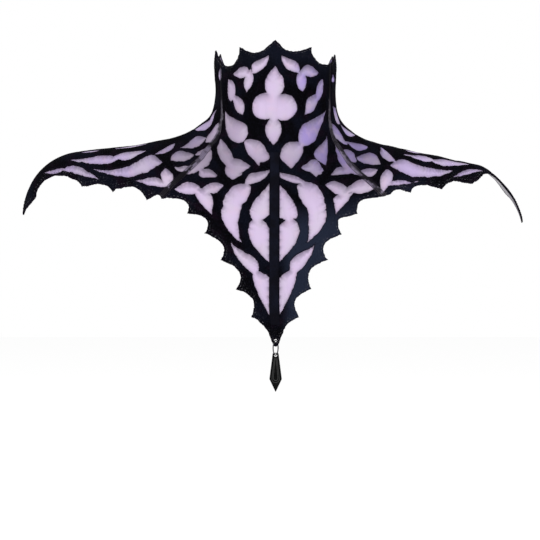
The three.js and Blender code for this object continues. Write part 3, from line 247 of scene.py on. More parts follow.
BACK_WINDOWS = {
    "back_upper_a": (95.5, 172, 100.8, 151, 97, 160, 100.2, 162, 0.8, 0.8),
    "back_upper_b": (100.8, 148.5, 102.3, 124, 99.8, 137, 103.6, 142, 0.8, 0.8),
    "back_long": (105, 150, 112, 129, 107, 136, 109.4, 144, 0.8, 0.8),
    "back_low": (115.6, 133, 119.8, 141, 116.2, 138.5, 119.8, 135.5, 0.8, 0.8),
    "back_mid": (108.1, 127.7, 104.4, 103.1, 100.9, 114, 107.9, 117.5, 0.8, 0.8),
    "back_slope_a": (111, 108.3, 118.3, 90.2, 102.7, 89.4, 117.1, 104.3, 0.8, 0.8),
    "back_slope_b": (118.9, 93.1, 119, 69.8, 114.9, 81.3, 122.8, 87.4, 0.8, 0.8),
    "back_slope_c": (113.8, 125.5, 123.3, 108.8, 111.7, 112.1, 120.3, 119.3, 0.8, 0.8),
    "back_slope_d": (94, 84, 99.3, 66.7, 92.2, 72, 104.5, 77, 0.8, 0.8),
    "back_slope_e": (95.8, 67.8, 108.9, 52.9, 93, 59.5, 106.4, 61.4, 0.8, 0.8),
    "ridge_a": (90, 90, 90, 108, 94, 99, 87, 99, 0.8, 0.8),
    "ridge_b": (88.5, 112, 87.5, 160, 94, 133, 83.2, 138, 0.8, 0.8),
    "ridge_c": (87.2, 163, 88.8, 191, 91, 176, 84.7, 176, 0.8, 0.8),
    "collar_ridge": (90, 30, 90, 54, 97, 42, 83, 42, 0.8, 0.8),
    "back_collar_a": (118, 26, 118, 50, 127, 39, 109, 39, 0.8, 0.8),
    "back_collar_b": (144, 34, 143, 66, 153, 50, 134, 50, 0.8, 0.8),
    "back_collar_c": (164, 30, 164, 58, 171, 44, 157, 44, 0.8, 0.8),
    "back_yoke_a": (131, 68, 128, 100, 139, 84, 122, 84, 0.8, 0.8),
    "back_yoke_b": (159, 70, 157, 118, 169, 94, 147, 94, 0.8, 0.8),
    "back_yoke_c": (137, 104, 137, 132, 145, 119, 130, 117, 0.8, 0.8),
}
SLIP_DROPS, SLIP_TURN, SLIP_RISE = [0, 132, 165, 195, 225, 290], [0, 0, 3.2, 3.4, 7, 7], [0, 0, 5, 5, 5, 5]
TAPE_WIDTH, EDGE_GAP, BAR_WIDTH, STRIP_WIDTH, CLOSURE_WIDTH = 3.2, 0.4, 8.6, 7.4, 12
EYE_DROP, EYE_RADIUS = 258.8, 1.25

# Heights above the cloth's inner face.
TULLE_LOW, TULLE_HIGH = 0.62, 1.0
VELVET_LOW, VELVET_HIGH = 1.03, 2.2


def smooth(t):
    t = np.clip(t, 0, 1)
    return t * t * (3 - 2 * t)


def across_sections(azimuth, value):
    n = len(FORM)
    at = lambda i: -FORM[-i][0] if i < 0 else 360 - FORM[2 * n - 2 - i][0] if i >= n else FORM[i][0]
    of = lambda i: value(FORM[-i if i < 0 else 2 * n - 2 - i if i >= n else i])
    i = 0
    while i < n - 2 and azimuth >= FORM[i + 1][0]:
        i += 1
    x0, x1, x2, x3 = [at(k) for k in (i - 1, i, i + 1, i + 2)]
    y0, y1, y2, y3 = [of(k) for k in (i - 1, i, i + 1, i + 2)]
    m1 = ((y1 - y0) / (x1 - x0) * (x2 - x1) + (y2 - y1) / (x2 - x1) * (x1 - x0)) / (x2 - x0)
    m2 = ((y2 - y1) / (x2 - x1) * (x3 - x2) + (y3 - y2) / (x3 - x2) * (x2 - x1)) / (x3 - x1)
    h = x2 - x1
    t = (azimuth - x1) / h
    return ((2 * t**3 - 3 * t**2 + 1) * y1 + (t**3 - 2 * t**2 + t) * h * m1
            + (-2 * t**3 + 3 * t**2) * y2 + (t**3 - t**2) * h * m2)


def make_grid():
    radius, height = [], []
    drops = np.arange(CHART_LENGTH + 1)
    for k in range(361):
        a = min(k * 0.5, 180.0)
        slopes = [across_sections(a, lambda row, j=j: row[2][j]) for j in range(len(FORM_DROPS))]
        s = np.interp(drops, FORM_DROPS, slopes)
        mid = (s[1:] + s[:-1]) / 2 * DEG
        radius.append(np.concatenate([[0], np.cumsum(np.sin(mid))]) + across_sections(a, lambda row: row[1]))
        height.append(TOP_HEIGHT - np.concatenate([[0], np.cumsum(np.cos(mid))]))
    return np.array(radius), np.array(height)


R_GRID, Z_GRID = make_grid()
# Length round the form from azimuth 0, at each drop.
ARC_GRID = np.concatenate([np.zeros((1, CHART_LENGTH + 1)),
                           np.cumsum((R_GRID[1:] + R_GRID[:-1]) / 2 * 0.5 * DEG, axis=0)])


def look(grid, azimuth, drop):
    a = np.clip(np.abs(azimuth), 0, 179.9999) / 0.5
    b = np.clip(drop, 0, CHART_LENGTH - 1e-6)
    i, j = np.floor(a).astype(int), np.floor(b).astype(int)
    f, g = a - i, b - j
    return ((grid[i, j] * (1 - g) + grid[i, j + 1] * g) * (1 - f)
            + (grid[i + 1, j] * (1 - g) + grid[i + 1, j + 1] * g) * f)


def radius_at(azimuth, drop):
    return float(look(R_GRID, np.array(azimuth, float), np.array(drop, float)))


def skin(azimuth, drop):
    azimuth, drop = np.asarray(azimuth, float), np.asarray(drop, float)
    r, z = look(R_GRID, azimuth, drop), look(Z_GRID, azimuth, drop)
    x, y = r * np.sin(azimuth * DEG), -r * np.cos(azimuth * DEG)
    up = sum(by * smooth((np.abs(x) - start) / over) for by, start, over in LIFTS)
    shorter, droop = (by * smooth((x - start) / over) for by, start, over in (SHORTER, DROOP))
    return np.stack([x - shorter, y, z - up * np.sign(x) - droop], -1)


def outward(azimuth, drop):
    side = skin(azimuth + 0.4, drop) - skin(azimuth - 0.4, drop)
    down = skin(azimuth, np.minimum(drop + 1, CHART_LENGTH - 0.01)) - skin(azimuth, np.maximum(drop - 1, 0))
    n = np.cross(down, side)
    return n / np.linalg.norm(n, axis=-1, keepdims=True)


def put(azimuth, drop, height):
    """Points on the cloth, in metres."""
    azimuth, drop = np.asarray(azimuth, float), np.asarray(drop, float)
    return (skin(azimuth, drop) + outward(azimuth, drop) * (np.asarray(height) - FACE)[..., None]) * 0.001


# The flat chart: x is the length round the form, y is minus the drop.
def flat(points):
    p = np.asarray(points, float)
    azimuth, drop = p[:, 0], p[:, 1]
    x = np.sign(azimuth) * look(ARC_GRID, azimuth, drop)
    over = np.abs(azimuth) > 180
    x = np.where(over, x + np.sign(azimuth) * (np.abs(azimuth) - 180) * DEG * look(R_GRID, azimuth, drop), x)
    return np.stack([x, -drop], -1)


def unflat(q):
    x, drop = np.abs(q[:, 0]), -q[:, 1]
    lo, hi = np.zeros(len(x)), np.full(len(x), 180.0)
    for _ in range(26):
        mid = (lo + hi) / 2
        low = look(ARC_GRID, mid, drop) < x
        lo, hi = np.where(low, mid, lo), np.where(low, hi, mid)
    azimuth = (lo + hi) / 2
    whole = look(ARC_GRID, np.full(len(x), 180.0), drop)
    azimuth = np.where(x > whole, 180 + (x - whole) / (look(R_GRID, azimuth, drop) * DEG), azimuth)
    return azimuth * np.where(q[:, 0] < 0, -1, 1), drop


# ------------------------------------------------------------------ drawing in the chart
def bulge(a, b, side, roundness, steps):
    k = radius_at((a[0] + b[0]) / 2, (a[1] + b[1]) / 2) * DEG
    c = ((b[0] - a[0]) * k, b[1] - a[1])
    m = ((side[0] - a[0]) * k, side[1] - a[1])
    length = math.hypot(*c)
    t = min(max((c[0] * m[0] + c[1] * m[1]) / length**2, 0.15), 0.85)
    h = (c[0] * m[1] - c[1] * m[0]) / length
    power = math.log(0.5) / math.log(t)
    points = []
    for i in range(steps + 1):
        w = (1 - math.cos(math.pi * i / steps)) / 2
        rise = 0 if i in (0, steps) else h * math.sin(math.pi * w**power) ** roundness
        points.append((a[0] + (c[0] * w - c[1] / length * rise) / k, a[1] + c[1] * w + c[0] / length * rise))
    return points


def on_side(side, point):
    azimuth, drop = point
    if side < 0:
        return (-azimuth, drop)
    reach = min(max((azimuth - 50) / 10, 0), 1) * min(max((180 - azimuth) / 60, 0), 1)
    return (azimuth + np.interp(drop, SLIP_DROPS, SLIP_TURN) * reach,
            drop - np.interp(drop, SLIP_DROPS, SLIP_RISE) * reach)


def leaf(row, steps=16):
    a1, d1, a2, d2, a3, d3, a4, d4, round_one, round_two = row
    one = bulge((a1, d1), (a2, d2), (a3, d3), round_one, steps)
    two = bulge((a2, d2), (a1, d1), (a4, d4), round_two, steps)
    return one[:-1], two[:-1]


def edge_line(rows, steps):
    """The scalloped edge as runs from point to point."""
    runs = []
    for a, b in zip(rows, rows[1:]):
        runs.append(bulge((a[0], a[1]), (b[0], b[1]), (a[2], a[3]), a[4], steps))
    return runs


def seam_azimuth(drop):
    return np.interp(drop, [d for d, _ in SEAM], [a for _, a in SEAM])


def seam_line(side, shift, steps=60):
    points = []
    for i in range(steps + 1):
        drop = -6 + i * 186 / steps
        azimuth = float(seam_azimuth(drop))
        points.append((side * (azimuth + shift / (radius_at(azimuth, max(drop, 0)) * DEG)), drop))
    return points


def upright_at(drop):
    """The upright at the front runs a little to the -X side of the centre."""
    return -0.75 * smooth((258 - np.asarray(drop, float)) / 32)


def band(width, from_drop, to_drop, steps):
    one, two = [], []
    for i in range(steps + 1):
        drop = from_drop + (to_drop - from_drop) * i / steps
        k, azimuth = radius_at(0, max(drop, 0)) * DEG, float(upright_at(drop))
        one.append((azimuth - width / 2 / k, drop))
        two.append((azimuth + width / 2 / k, drop))
    return one + two[::-1]


def spaced(run, step, seed=None, rough=0.0):
    """A run of flat points evenly spaced, its ends kept, with a slightly ragged line between."""
    run = np.asarray(run, float)
    length = np.concatenate([[0], np.cumsum(np.linalg.norm(np.diff(run, axis=0), axis=1))])
    n = max(2, int(round(length[-1] / step)))
    s = np.linspace(0, length[-1], n + 1)
    out = np.stack([np.interp(s, length, run[:, 0]), np.interp(s, length, run[:, 1])], -1)
    if rough and n > 4:
        rng = np.random.default_rng(seed)
        way = np.gradient(out, axis=0)
        way /= np.linalg.norm(way, axis=1, keepdims=True) + 1e-9
        shake = rng.normal(0, 1, n + 1) * 0.6 + np.convolve(rng.normal(0, 1, n + 5), np.ones(5) / 2.2, "valid")
        ends = np.minimum(np.minimum(s, length[-1] - s) / 2.5, 1)
        out += np.stack([-way[:, 1], way[:, 0]], -1) * (shake * rough * ends)[:, None]
    return out


STEP = 0.85          # spacing along a cut edge
GRID = 2.3           # and inside
TULLE_GRID = 1.4     # and on the tulle, which carries the shade


def closed(runs, step=STEP, seed=0, rough=0.0):
    """A closed flat loop from runs of chart points."""
    parts = [spaced(flat(run), step, seed * 31 + i, rough)[:-1] for i, run in enumerate(runs)]
    return np.concatenate(parts)


def garment_runs():
    top = {side: edge_line(COLLAR_TOP[side], 12) for side in (-1, 1)}
    hem = {side: edge_line(HEM[side], 12) for side in (-1, 1)}
    runs = []
    runs += [[on_side(-1, p) for p in run[::-1]] for run in top[-1][::-1]]
    runs += [[on_side(1, p) for p in run] for run in top[1]]
    runs.append([on_side(1, top[1][-1][-1]), on_side(1, hem[1][-1][-1])])
    runs += [[on_side(1, p) for p in run[::-1]] for run in hem[1][::-1]]
    runs += [[on_side(-1, p) for p in run] for run in hem[-1]]
    runs.append([on_side(-1, hem[-1][-1][-1]), on_side(-1, top[-1][-1][-1])])
    return runs


OUTLINE = closed(garment_runs(), STEP, 7, 0.19)
TICK = flat([(-6.4, 7.6), (-5.6, 3.6), (-4.5, 6.4)])      # a stray point on the collar's top edge


def leaf_loop(side, row, seed):
    one, two = leaf(row)
    return closed([[on_side(side, p) for p in one + [two[0]]], [on_side(side, p) for p in two + [one[0]]]],
                  STEP, seed, 0.19)


def area_front(inset):
    left, right = seam_line(-1, -inset), seam_line(1, -inset)
    return flat(left + [(0, 289)] + right[::-1])


def area_side(side, inset, back_inset):
    seam = seam_line(side, inset)
    back = [(side * (180 - back_inset / (radius_at(180, max(d, 0)) * DEG)), d) for d in range(-6, 181, 6)]
    return flat(seam + [(seam[-1][0], 289), (side * 178, 289)] + back[::-1])


def circle(azimuth, drop, radius, n=24):
    c = flat([(azimuth, drop)])[0]
    a = np.arange(n) / n * 2 * math.pi
    return np.stack([c[0] + radius * np.cos(a), c[1] + radius * np.sin(a)], -1)


# ------------------------------------------------------------------ meshing
def tree_of(points):
    tree = KDTree(len(points))
    for i, p in enumerate(points):
        tree.insert((p[0], p[1], 0), i)
    tree.balance()
    return tree


def near(tree, points):
    return np.array([tree.find((p[0], p[1], 0))[2] for p in points])


def ccw(loop):
    x, y = loop[:, 0], loop[:, 1]
    return loop if (x * np.roll(y, -1) - np.roll(x, -1) * y).sum() > 0 else loop[::-1]


def within(loop, points):
    """Which flat points lie inside a loop."""
    found = np.zeros(len(points), bool)
    near_it = np.flatnonzero(((points > loop.min(0)) & (points < loop.max(0))).all(axis=1))
    a, b = loop, np.roll(loop, -1, 0)
    slant = (b[:, 0] - a[:, 0]) / np.where(b[:, 1] == a[:, 1], 1e-12, b[:, 1] - a[:, 1])
    for k in range(0, len(near_it), 4000):
        at = near_it[k:k + 4000]
        x, y = points[at, 0][:, None], points[at, 1][:, None]
        cross = ((a[:, 1] > y) != (b[:, 1] > y)) & (x < a[:, 0] + (y - a[:, 1]) * slant)
        found[at] = cross.sum(axis=1) % 2 == 1
    return found


def triangulate(loops, keep, grid, offsets):
    """Triangles of the part of the plane that keep() says, from the numbers of the loops round it."""
    loops = [ccw(loop) for loop in loops]
    border = np.concatenate(loops)
    tree = tree_of(border)
    reach = np.array([np.maximum(loops[0].min(0), loops[1].min(0)), np.minimum(loops[0].max(0), loops[1].max(0))])
    free = []
    for d in offsets:
        for loop in loops:
            way = np.roll(loop, -1, 0) - np.roll(loop, 1, 0)
            way /= np.linalg.norm(way, axis=1, keepdims=True) + 1e-9
            n = np.stack([-way[:, 1], way[:, 0]], -1)
            for sign in (1, -1):
                got = loop + n * d * sign
                got = got[((got > reach[0] - 2) & (got < reach[1] + 2)).all(axis=1)]
                if not len(got):
                    continue
                got = got[near(tree, got) > d * 0.86]
                if len(got):
                    # Crowded points are thinned.
                    taken = {}
                    for p in got:
                        taken.setdefault((round(p[0] / (0.8 * d + 0.2)), round(p[1] / (0.8 * d + 0.2))), p)
                    free.append(np.array(list(taken.values())))
    lo, hi = reach
    rows = []
    for k, y in enumerate(np.arange(lo[1] - grid, hi[1] + grid, grid * 0.866)):
        x = np.arange(lo[0] - grid, hi[0] + grid, grid) + (k % 2) * grid / 2
        rows.append(np.stack([x, np.full(len(x), y)], -1))
    inside = np.concatenate(rows)
    inside = inside[near(tree, inside) > (max(offsets) if offsets else 0) + grid * 0.4]
    points = [Vector((float(p[0]), float(p[1]))) for p in np.concatenate([border, *free, inside])]
    edges, start = [], 0
    for loop in loops:
        n = len(loop)
        edges += [(start + i, start + (i + 1) % n) for i in range(n)]
        start += n
    v, _, f, _, _, _ = delaunay_2d_cdt(points, edges, [], 0, 1e-4, True)
    tris = np.array([tri for tri in f if len(tri) == 3], int)
    v = np.array([(p.x, p.y) for p in v])
    middle = v[tris].mean(axis=1)
    inside = np.stack([within(loop, middle) for loop in loops], -1)
    tris = tris[[keep(set(np.flatnonzero(row).tolist())) for row in inside]]
    a, b, c = v[tris[:, 0]], v[tris[:, 1]], v[tris[:, 2]]
    turn = (b[:, 0] - a[:, 0]) * (c[:, 1] - a[:, 1]) - (b[:, 1] - a[:, 1]) * (c[:, 0] - a[:, 0])
    tris[turn < 0] = tris[turn < 0][:, ::-1]
    # Crumbs cut off between windows go.
    parent = np.arange(len(v))

    def root(i):
        while parent[i] != i:
            parent[i] = parent[parent[i]]
            i = parent[i]
        return i
    for t in tris:
        r = root(t[0])
        parent[root(t[1])] = r
        parent[root(t[2])] = r
    roots = np.array([root(t[0]) for t in tris])
    sizes = {}
    for r, s in zip(roots, np.abs(turn) / 2):
        sizes[r] = sizes.get(r, 0) + s
    tris = tris[np.array([sizes[r] > 12 for r in roots])]
    used = np.unique(tris)
    index = np.full(len(v), -1)
    index[used] = np.arange(len(used))
    return v[used], index[tris]


def border_edges(tris):
    e = np.concatenate([tris[:, [0, 1]], tris[:, [1, 2]], tris[:, [2, 0]]])
    key = np.sort(e, axis=1)
    _, at, counts = np.unique(key, axis=0, return_index=True, return_counts=True)
    return e[at[counts == 1]]


def new_mesh(name, points, faces, attributes=None, body="neckpiece", material=None, sharp=50):
    mesh = bpy.data.meshes.new(name)
    mesh.from_pydata([tuple(p) for p in points], [], [tuple(int(i) for i in f) for f in faces])
    mesh.update()
    mesh.polygons.foreach_set("use_smooth", [True] * len(mesh.polygons))
    for key, values in (attributes or {}).items():
        values = np.asarray(values, np.float32)
        if values.ndim == 2:
            a = mesh.attributes.new(key, "FLOAT_VECTOR", "POINT")
            a.data.foreach_set("vector", values.ravel())
        else:
            a = mesh.attributes.new(key, "FLOAT", "POINT")
            a.data.foreach_set("value", values)
    if sharp:
        mesh.set_sharp_from_angle(angle=sharp * DEG)
    obj = bpy.data.objects.new(name, mesh)
    scene.collection.objects.link(obj)
    if material:
        mesh.materials.append(material)
    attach(obj, body)
    return obj


def ripple(x, drop):
    """Small unevenness of the cloth, shared by its layers."""
    return (0.22 * np.sin(x / 13.0 + 0.7 * np.sin(drop / 19.0)) * np.sin(drop / 17.0 + 1.3)
            + 0.12 * np.sin(x / 5.3 + drop / 7.1 + 0.4))


def cloth(name, loops, keep, low, top, grid=GRID, offsets=(0.4, 1.0), attributes=None, material=None, rims=None):
    """A closed layer of cloth: low is its inner height, top(distance from edge, x, drop) its outer."""
    v, tris = triangulate(loops, keep, grid, offsets)
    rim = border_edges(tris)
    rim_points = np.concatenate([v[rim[:, 0]], (v[rim[:, 0]] + v[rim[:, 1]]) / 2])
    edge = near(tree_of(rim_points), v)
    edge[np.unique(rim)] = 0
    if rims is not None:
        rims.append(rim_points)
    azimuth, drop = unflat(v)
    wave = ripple(v[:, 0], drop)
    upper = put(azimuth, drop, top(edge, v[:, 0], drop) + wave)
    lower = put(azimuth, drop, low + wave)
    n = len(v)
    faces = list(tris) + [t[::-1] + n for t in tris] + [(a, a + n, b + n, b) for a, b in rim]
    data = {"edge": np.tile(edge, 2), "chart": np.tile(np.stack([v[:, 0], v[:, 1], np.zeros(n)], -1), (2, 1))}
    for key, make in (attributes or {}).items():
        data[key] = np.tile(make(azimuth, drop, edge), 2)
    obj = new_mesh(name, np.concatenate([upper, lower]), faces, data, material=material)
    areas = np.linalg.norm(np.cross(upper[tris[:, 1]] - upper[tris[:, 0]], upper[tris[:, 2]] - upper[tris[:, 0]]), axis=1)
    return obj, float(areas.sum() / 2), v


# ------------------------------------------------------------------ materials
class Look:
    def __init__(self, name, **values):
        self.material = bpy.data.materials.new(name)
        self.material.use_nodes = True
        self.tree = self.material.node_tree
        self.tree.nodes.clear()
        out = self.tree.nodes.new("ShaderNodeOutputMaterial")
        self.shader = self.tree.nodes.new("ShaderNodeBsdfPrincipled")
        self.tree.links.new(self.shader.outputs[0], out.inputs[0])
        for key, value in values.items():
            self.set(key.replace("_", " "), value)

    def set(self, socket, value):
        found = next(s for s in self.shader.inputs if s.name.lower() == socket.lower())
        self.feed(found, value)

    def feed(self, socket, value):
        if isinstance(value, bpy.types.NodeSocket):
            self.tree.links.new(value, socket)
        elif hasattr(value, "__len__") and len(value) == 3 and socket.type == "RGBA":
            socket.default_value = (*value, 1)
        else:
            socket.default_value = value

    def attribute(self, name, output):
        node = self.tree.nodes.new("ShaderNodeAttribute")
        node.attribute_name = name
        return node.outputs[output]

    def point(self):
        return self.tree.nodes.new("ShaderNodeTexCoord").outputs["Object"]

    def math(self, operation, a, b=None, clamp=False):
        node = self.tree.nodes.new("ShaderNodeMath")
        node.operation, node.use_clamp = operation, clamp
        self.feed(node.inputs[0], a)
        if b is not None:
            self.feed(node.inputs[1], b)
        return node.outputs[0]

    def dot(self, vector, other):
        node = self.tree.nodes.new("ShaderNodeVectorMath")
        node.operation = "DOT_PRODUCT"
        self.feed(node.inputs[0], vector)
        node.inputs[1].default_value = other
        return node.outputs["Value"]

    def span(self, value, a, b, low=0.0, high=1.0, kind="SMOOTHSTEP"):
        node = self.tree.nodes.new("ShaderNodeMapRange")
        node.interpolation_type = kind
        self.feed(node.inputs["Value"], value)
        for key, x in (("From Min", a), ("From Max", b), ("To Min", low), ("To Max", high)):
            node.inputs[key].default_value = x
        return node.outputs["Result"]

    def mix(self, share, a, b, kind="MIX"):
        node = self.tree.nodes.new("ShaderNodeMix")
        node.data_type, node.blend_type = "RGBA", kind
        rgba = [s for s in node.inputs if s.type == "RGBA"]
        self.feed(node.inputs[0], share)
        self.feed(rgba[0], a)
        self.feed(rgba[1], b)
        return next(s for s in node.outputs if s.type == "RGBA")

    def stretch(self, vector, by):
        node = self.tree.nodes.new("ShaderNodeMapping")
        self.feed(node.inputs["Vector"], vector)
        node.inputs["Scale"].default_value = by
        return node.outputs[0]

    def noise(self, vector, scale, detail=2.0, rough=0.5, warp=0.0):
        node = self.tree.nodes.new("ShaderNodeTexNoise")
        self.feed(node.inputs["Vector"], vector)
        node.inputs["Scale"].default_value = scale
        node.inputs["Detail"].default_value = detail
        node.inputs["Roughness"].default_value = rough
        node.inputs["Distortion"].default_value = warp
        return node.outputs[0]

    def bump(self, height, distance, strength=1.0, normal=None):
        node = self.tree.nodes.new("ShaderNodeBump")
        node.inputs["Distance"].default_value = distance
        node.inputs["Strength"].default_value = strength
        self.feed(node.inputs["Height"], height)
        if normal is not None:
            self.feed(node.inputs["Normal"], normal)
        return node.outputs[0]


def net(look, chart, pitch):
    """A hexagonal net in the chart: 0 on its threads, 1 in its holes."""
    k = 2 * math.pi / (pitch * 0.866)
    total = None
    for turn in (0, 60, 120):
        c = (math.cos(turn * DEG) * k, math.sin(turn * DEG) * k, 0)
        wave = look.math("COSINE", look.dot(chart, c))
        total = wave if total is None else look.math("ADD", total, wave)
    return look.span(total, -0.6, 0.9)


def tulle_look():
    look = Look("tulle_net", roughness=0.8, specular_ior_level=0.1, sheen_weight=0.1, sheen_roughness=0.4)
    chart, painted_light_hue = look.attribute("chart", "Vector"), look.attribute("painted_light_hue", "Fac")
    hole = net(look, chart, 0.9)
    cloud = look.noise(chart, 0.045, 3, 0.55)
    # Painted colour of the light: violet on the right of the neck and, less, on the wings, pinkish elsewhere.
    colour = look.mix(painted_light_hue, (0.462, 0.374, 0.518), (0.305, 0.236, 0.510))
    colour = look.mix(look.span(cloud, 0.4, 0.65, 0, 0.6), colour, (0.435, 0.385, 0.468))
    colour = look.mix(look.span(look.noise(chart, 0.11, 2, 0.5), 0.5, 0.72, 0, 0.35), colour, (0.510, 0.370, 0.490))
    # Painted shade of faint creases: dark streaks run down the cloth.
    crease_shade = look.noise(look.stretch(chart, (0.16, 0.035, 1)), 1.0, 3, 0.55, 0.6)
    colour = look.mix(look.span(crease_shade, 0.52, 0.68, 0, 0.10), colour, (0.20, 0.17, 0.24))
    # Painted shade: the tulle darkens in the hollow at the foot of the neck, round its sides and on the wings.
    colour = look.mix(look.span(look.attribute("painted_shading", "Fac"), 1, 0, 0, 1, "LINEAR"), colour, (0.020, 0.016, 0.026))
    colour = look.mix(look.attribute("sheer", "Fac"), colour, (0.44, 0.44, 0.445))
    colour = look.mix(look.attribute("shade", "Fac"), colour, (0.050, 0.042, 0.064))
    colour = look.mix(look.math("MULTIPLY", hole, 0.06), colour, (0.26, 0.22, 0.32))
    # The hem and the collar's edge are bound in black.
    bound = look.span(look.attribute("edge", "Fac"), 0.9, 1.5, 1, 0)
    colour = look.mix(look.math("MULTIPLY", bound, look.attribute("hem", "Fac")), colour, (0.004, 0.004, 0.006))
    look.set("Base Color", colour)
    look.set("Alpha", look.span(hole, 0, 1, 1.0, 0.94, "LINEAR"))
    look.set("Normal", look.bump(hole, 0.00008, 0.5))
    look.set("Sheen Tint", (0.92, 0.86, 1.0))
    return look.material


def velvet_look():
    look = Look("velvet_flock", roughness=0.95, specular_ior_level=0.012)
    chart, edge = look.attribute("chart", "Vector"), look.attribute("edge", "Fac")
    broad = look.noise(chart, 0.035, 2, 0.5)
    colour = look.mix(look.span(broad, 0.42, 0.62), (0.0008, 0.0007, 0.0010), (0.0020, 0.0025, 0.0054))
    colour = look.mix(look.span(look.noise(chart, 0.08, 2, 0.5), 0.52, 0.7, 0, 0.8), colour, (0.0040, 0.0016, 0.0042))
    # Painted sheen: the pile reads lighter and bluer at the lower right of the bib and a little along the collar's top.
    colour = look.mix(look.attribute("painted_sheen", "Fac"), colour, (0.0105, 0.0140, 0.0265))
    colour = look.mix(look.span(edge, 0.1, 1.3, 0.45, 0), colour, (0.0070, 0.0042, 0.0092))
    pile = look.noise(chart, 1.0, 3, 0.7)
    colour = look.mix(look.span(pile, 0.5, 0.72, 0, 0.7), colour, (0.0105, 0.0105, 0.0185))
    colour = look.mix(look.span(pile, 0.5, 0.3, 0, 0.7), colour, (0.0010, 0.0009, 0.0013))
    fleck = look.span(look.noise(chart, 0.62, 4, 0.75), 0.66, 0.74)
    where = look.span(look.noise(chart, 0.05, 1, 0.5), 0.46, 0.60)
    colour = look.mix(look.math("MULTIPLY", fleck, look.math("MULTIPLY", where, 0.6)), colour, (0.055, 0.055, 0.070))
    # Lint and loose ends gather along the hem and the collar's edge.
    lint = look.span(look.noise(chart, 1.25, 3, 0.65), 0.60, 0.68)
    lint = look.math("MULTIPLY", lint, look.span(look.noise(chart, 0.12, 1, 0.5), 0.44, 0.58))
    colour = look.mix(look.math("MULTIPLY", lint, look.attribute("lint", "Fac")), colour, (0.085, 0.085, 0.100))
    look.set("Base Color", colour)
    look.set("Normal", look.bump(pile, 0.00035, 0.6))
    return look.material


def tape_look():
    look = Look("sheer_tape", roughness=0.8, specular_ior_level=0.05)
    chart, across = look.attribute("chart", "Vector"), look.attribute("across", "Fac")
    bare, lit = look.attribute("bare", "Fac"), look.attribute("lit", "Fac")
    # Fine threads run along it, clearest where it crosses a window.
    waver = look.math("MULTIPLY", look.noise(chart, 0.12, 2, 0.5), 0.9)
    threads = look.math("COSINE", look.math("MULTIPLY", look.math("ADD", across, waver), 2 * math.pi * 1.4))
    rib = look.span(threads, 0.25, 0.95)
    sheer = look.mix(rib, (0.150, 0.125, 0.185), (0.020, 0.017, 0.026))
    covered = look.mix(rib, (0.0024, 0.0020, 0.0032), (0.0070, 0.0060, 0.0090))
    colour = look.mix(bare, covered, sheer)
    colour = look.mix(look.math("MULTIPLY", look.span(threads, 0.1, 0.8), lit), colour, (0.27, 0.245, 0.31))
    colour = look.mix(look.span(look.noise(chart, 0.16, 2, 0.5), 0.44, 0.62, 0, 0.6), colour, (0.0040, 0.0034, 0.0050))
    look.set("Base Color", colour)
    look.set("Alpha", look.span(look.math("MULTIPLY", bare, rib), 0, 1, 1.0, 0.9, "LINEAR"))
    look.set("Normal", look.bump(threads, 0.0002, 0.8))
    return look.material


def ribbon_look():
    look = Look("ribbon_weave", roughness=0.85, specular_ior_level=0.03)
    chart = look.attribute("chart", "Vector")
    ribs = look.math("SINE", look.dot(chart, (0, 2 * math.pi / 0.9, 0)))
    colour = look.mix(look.span(look.noise(chart, 0.06, 3, 0.6), 0.4, 0.65), (0.0020, 0.0019, 0.0036), (0.0036, 0.0042, 0.0092))
    colour = look.mix(look.span(ribs, 0.3, 1.0, 0, 0.35), colour, (0.0080, 0.0080, 0.0150))
    colour = look.mix(look.span(look.noise(chart, 0.9, 3, 0.7), 0.6, 0.75, 0, 0.5), colour, (0.018, 0.018, 0.030))
    look.set("Base Color", colour)
    look.set("Normal", look.bump(ribs, 0.0002, 0.5))
    return look.material


def thread_look():
    look = Look("edge_thread", roughness=0.7, specular_ior_level=0.1)
    p = look.point()
    colour = look.mix(look.span(look.noise(p, 500, 2, 0.6), 0.42, 0.66), (0.008, 0.008, 0.010), (0.105, 0.10, 0.115))
    look.set("Base Color", colour)
    look.set("Normal", look.bump(look.noise(p, 4000, 2, 0.5), 0.0001, 0.4))
    return look.material


def metal_look():
    look = Look("ring_wire", metallic=1.0, specular_tint=(0.16, 0.16, 0.17))
    p = look.point()
    wear = look.noise(p, 900, 3, 0.6)
    look.set("Base Color", look.mix(look.span(wear, 0.4, 0.62), (0.012, 0.012, 0.014), (0.10, 0.10, 0.105)))
    look.set("Roughness", look.span(wear, 0.3, 0.7, 0.14, 0.34, "LINEAR"))
    look.set("Normal", look.bump(look.noise(p, 3500, 2, 0.5), 0.00004, 0.3))
    return look.material


def jet_look():
    look = Look("jet_facets", specular_ior_level=0.03)
    p = look.point()
    # Painted highlight: the crests of the teardrop ridges are lighter grey.
    crest_highlight = look.attribute("crest_highlight", "Fac")
    base = look.mix(look.span(look.noise(p, 260, 3, 0.6), 0.4, 0.65), (0.0014, 0.0014, 0.0015), (0.0036, 0.0036, 0.0037))
    look.set("Base Color", look.mix(look.span(crest_highlight, 0.25, 1.0), base, (0.078, 0.079, 0.078)))
    look.set("Roughness", look.span(look.noise(p, 420, 3, 0.6), 0.3, 0.7, 0.30, 0.50, "LINEAR"))
    look.set("Normal", look.bump(look.noise(p, 1500, 3, 0.5), 0.00006, 0.35))
    return look.material


TULLE, VELVET, TAPE, RIBBON, THREAD, METAL, JET = (
    tulle_look(), velvet_look(), tape_look(), ribbon_look(), thread_look(), metal_look(), jet_look())


# ------------------------------------------------------------------ the cloth pieces
def painted_light_hue(azimuth, drop, edge):
    """Painted colour of the light: 0 where the tulle reads pinkish, 1 where it reads violet."""
    right = smooth((azimuth - 12) / 16) * (1 - smooth((drop - 105) / 30))
    wings = 0.34 * smooth((np.abs(azimuth) - 58) / 10)
    return np.clip(np.maximum(0.95 * right, wings) + 0.06, 0, 1)


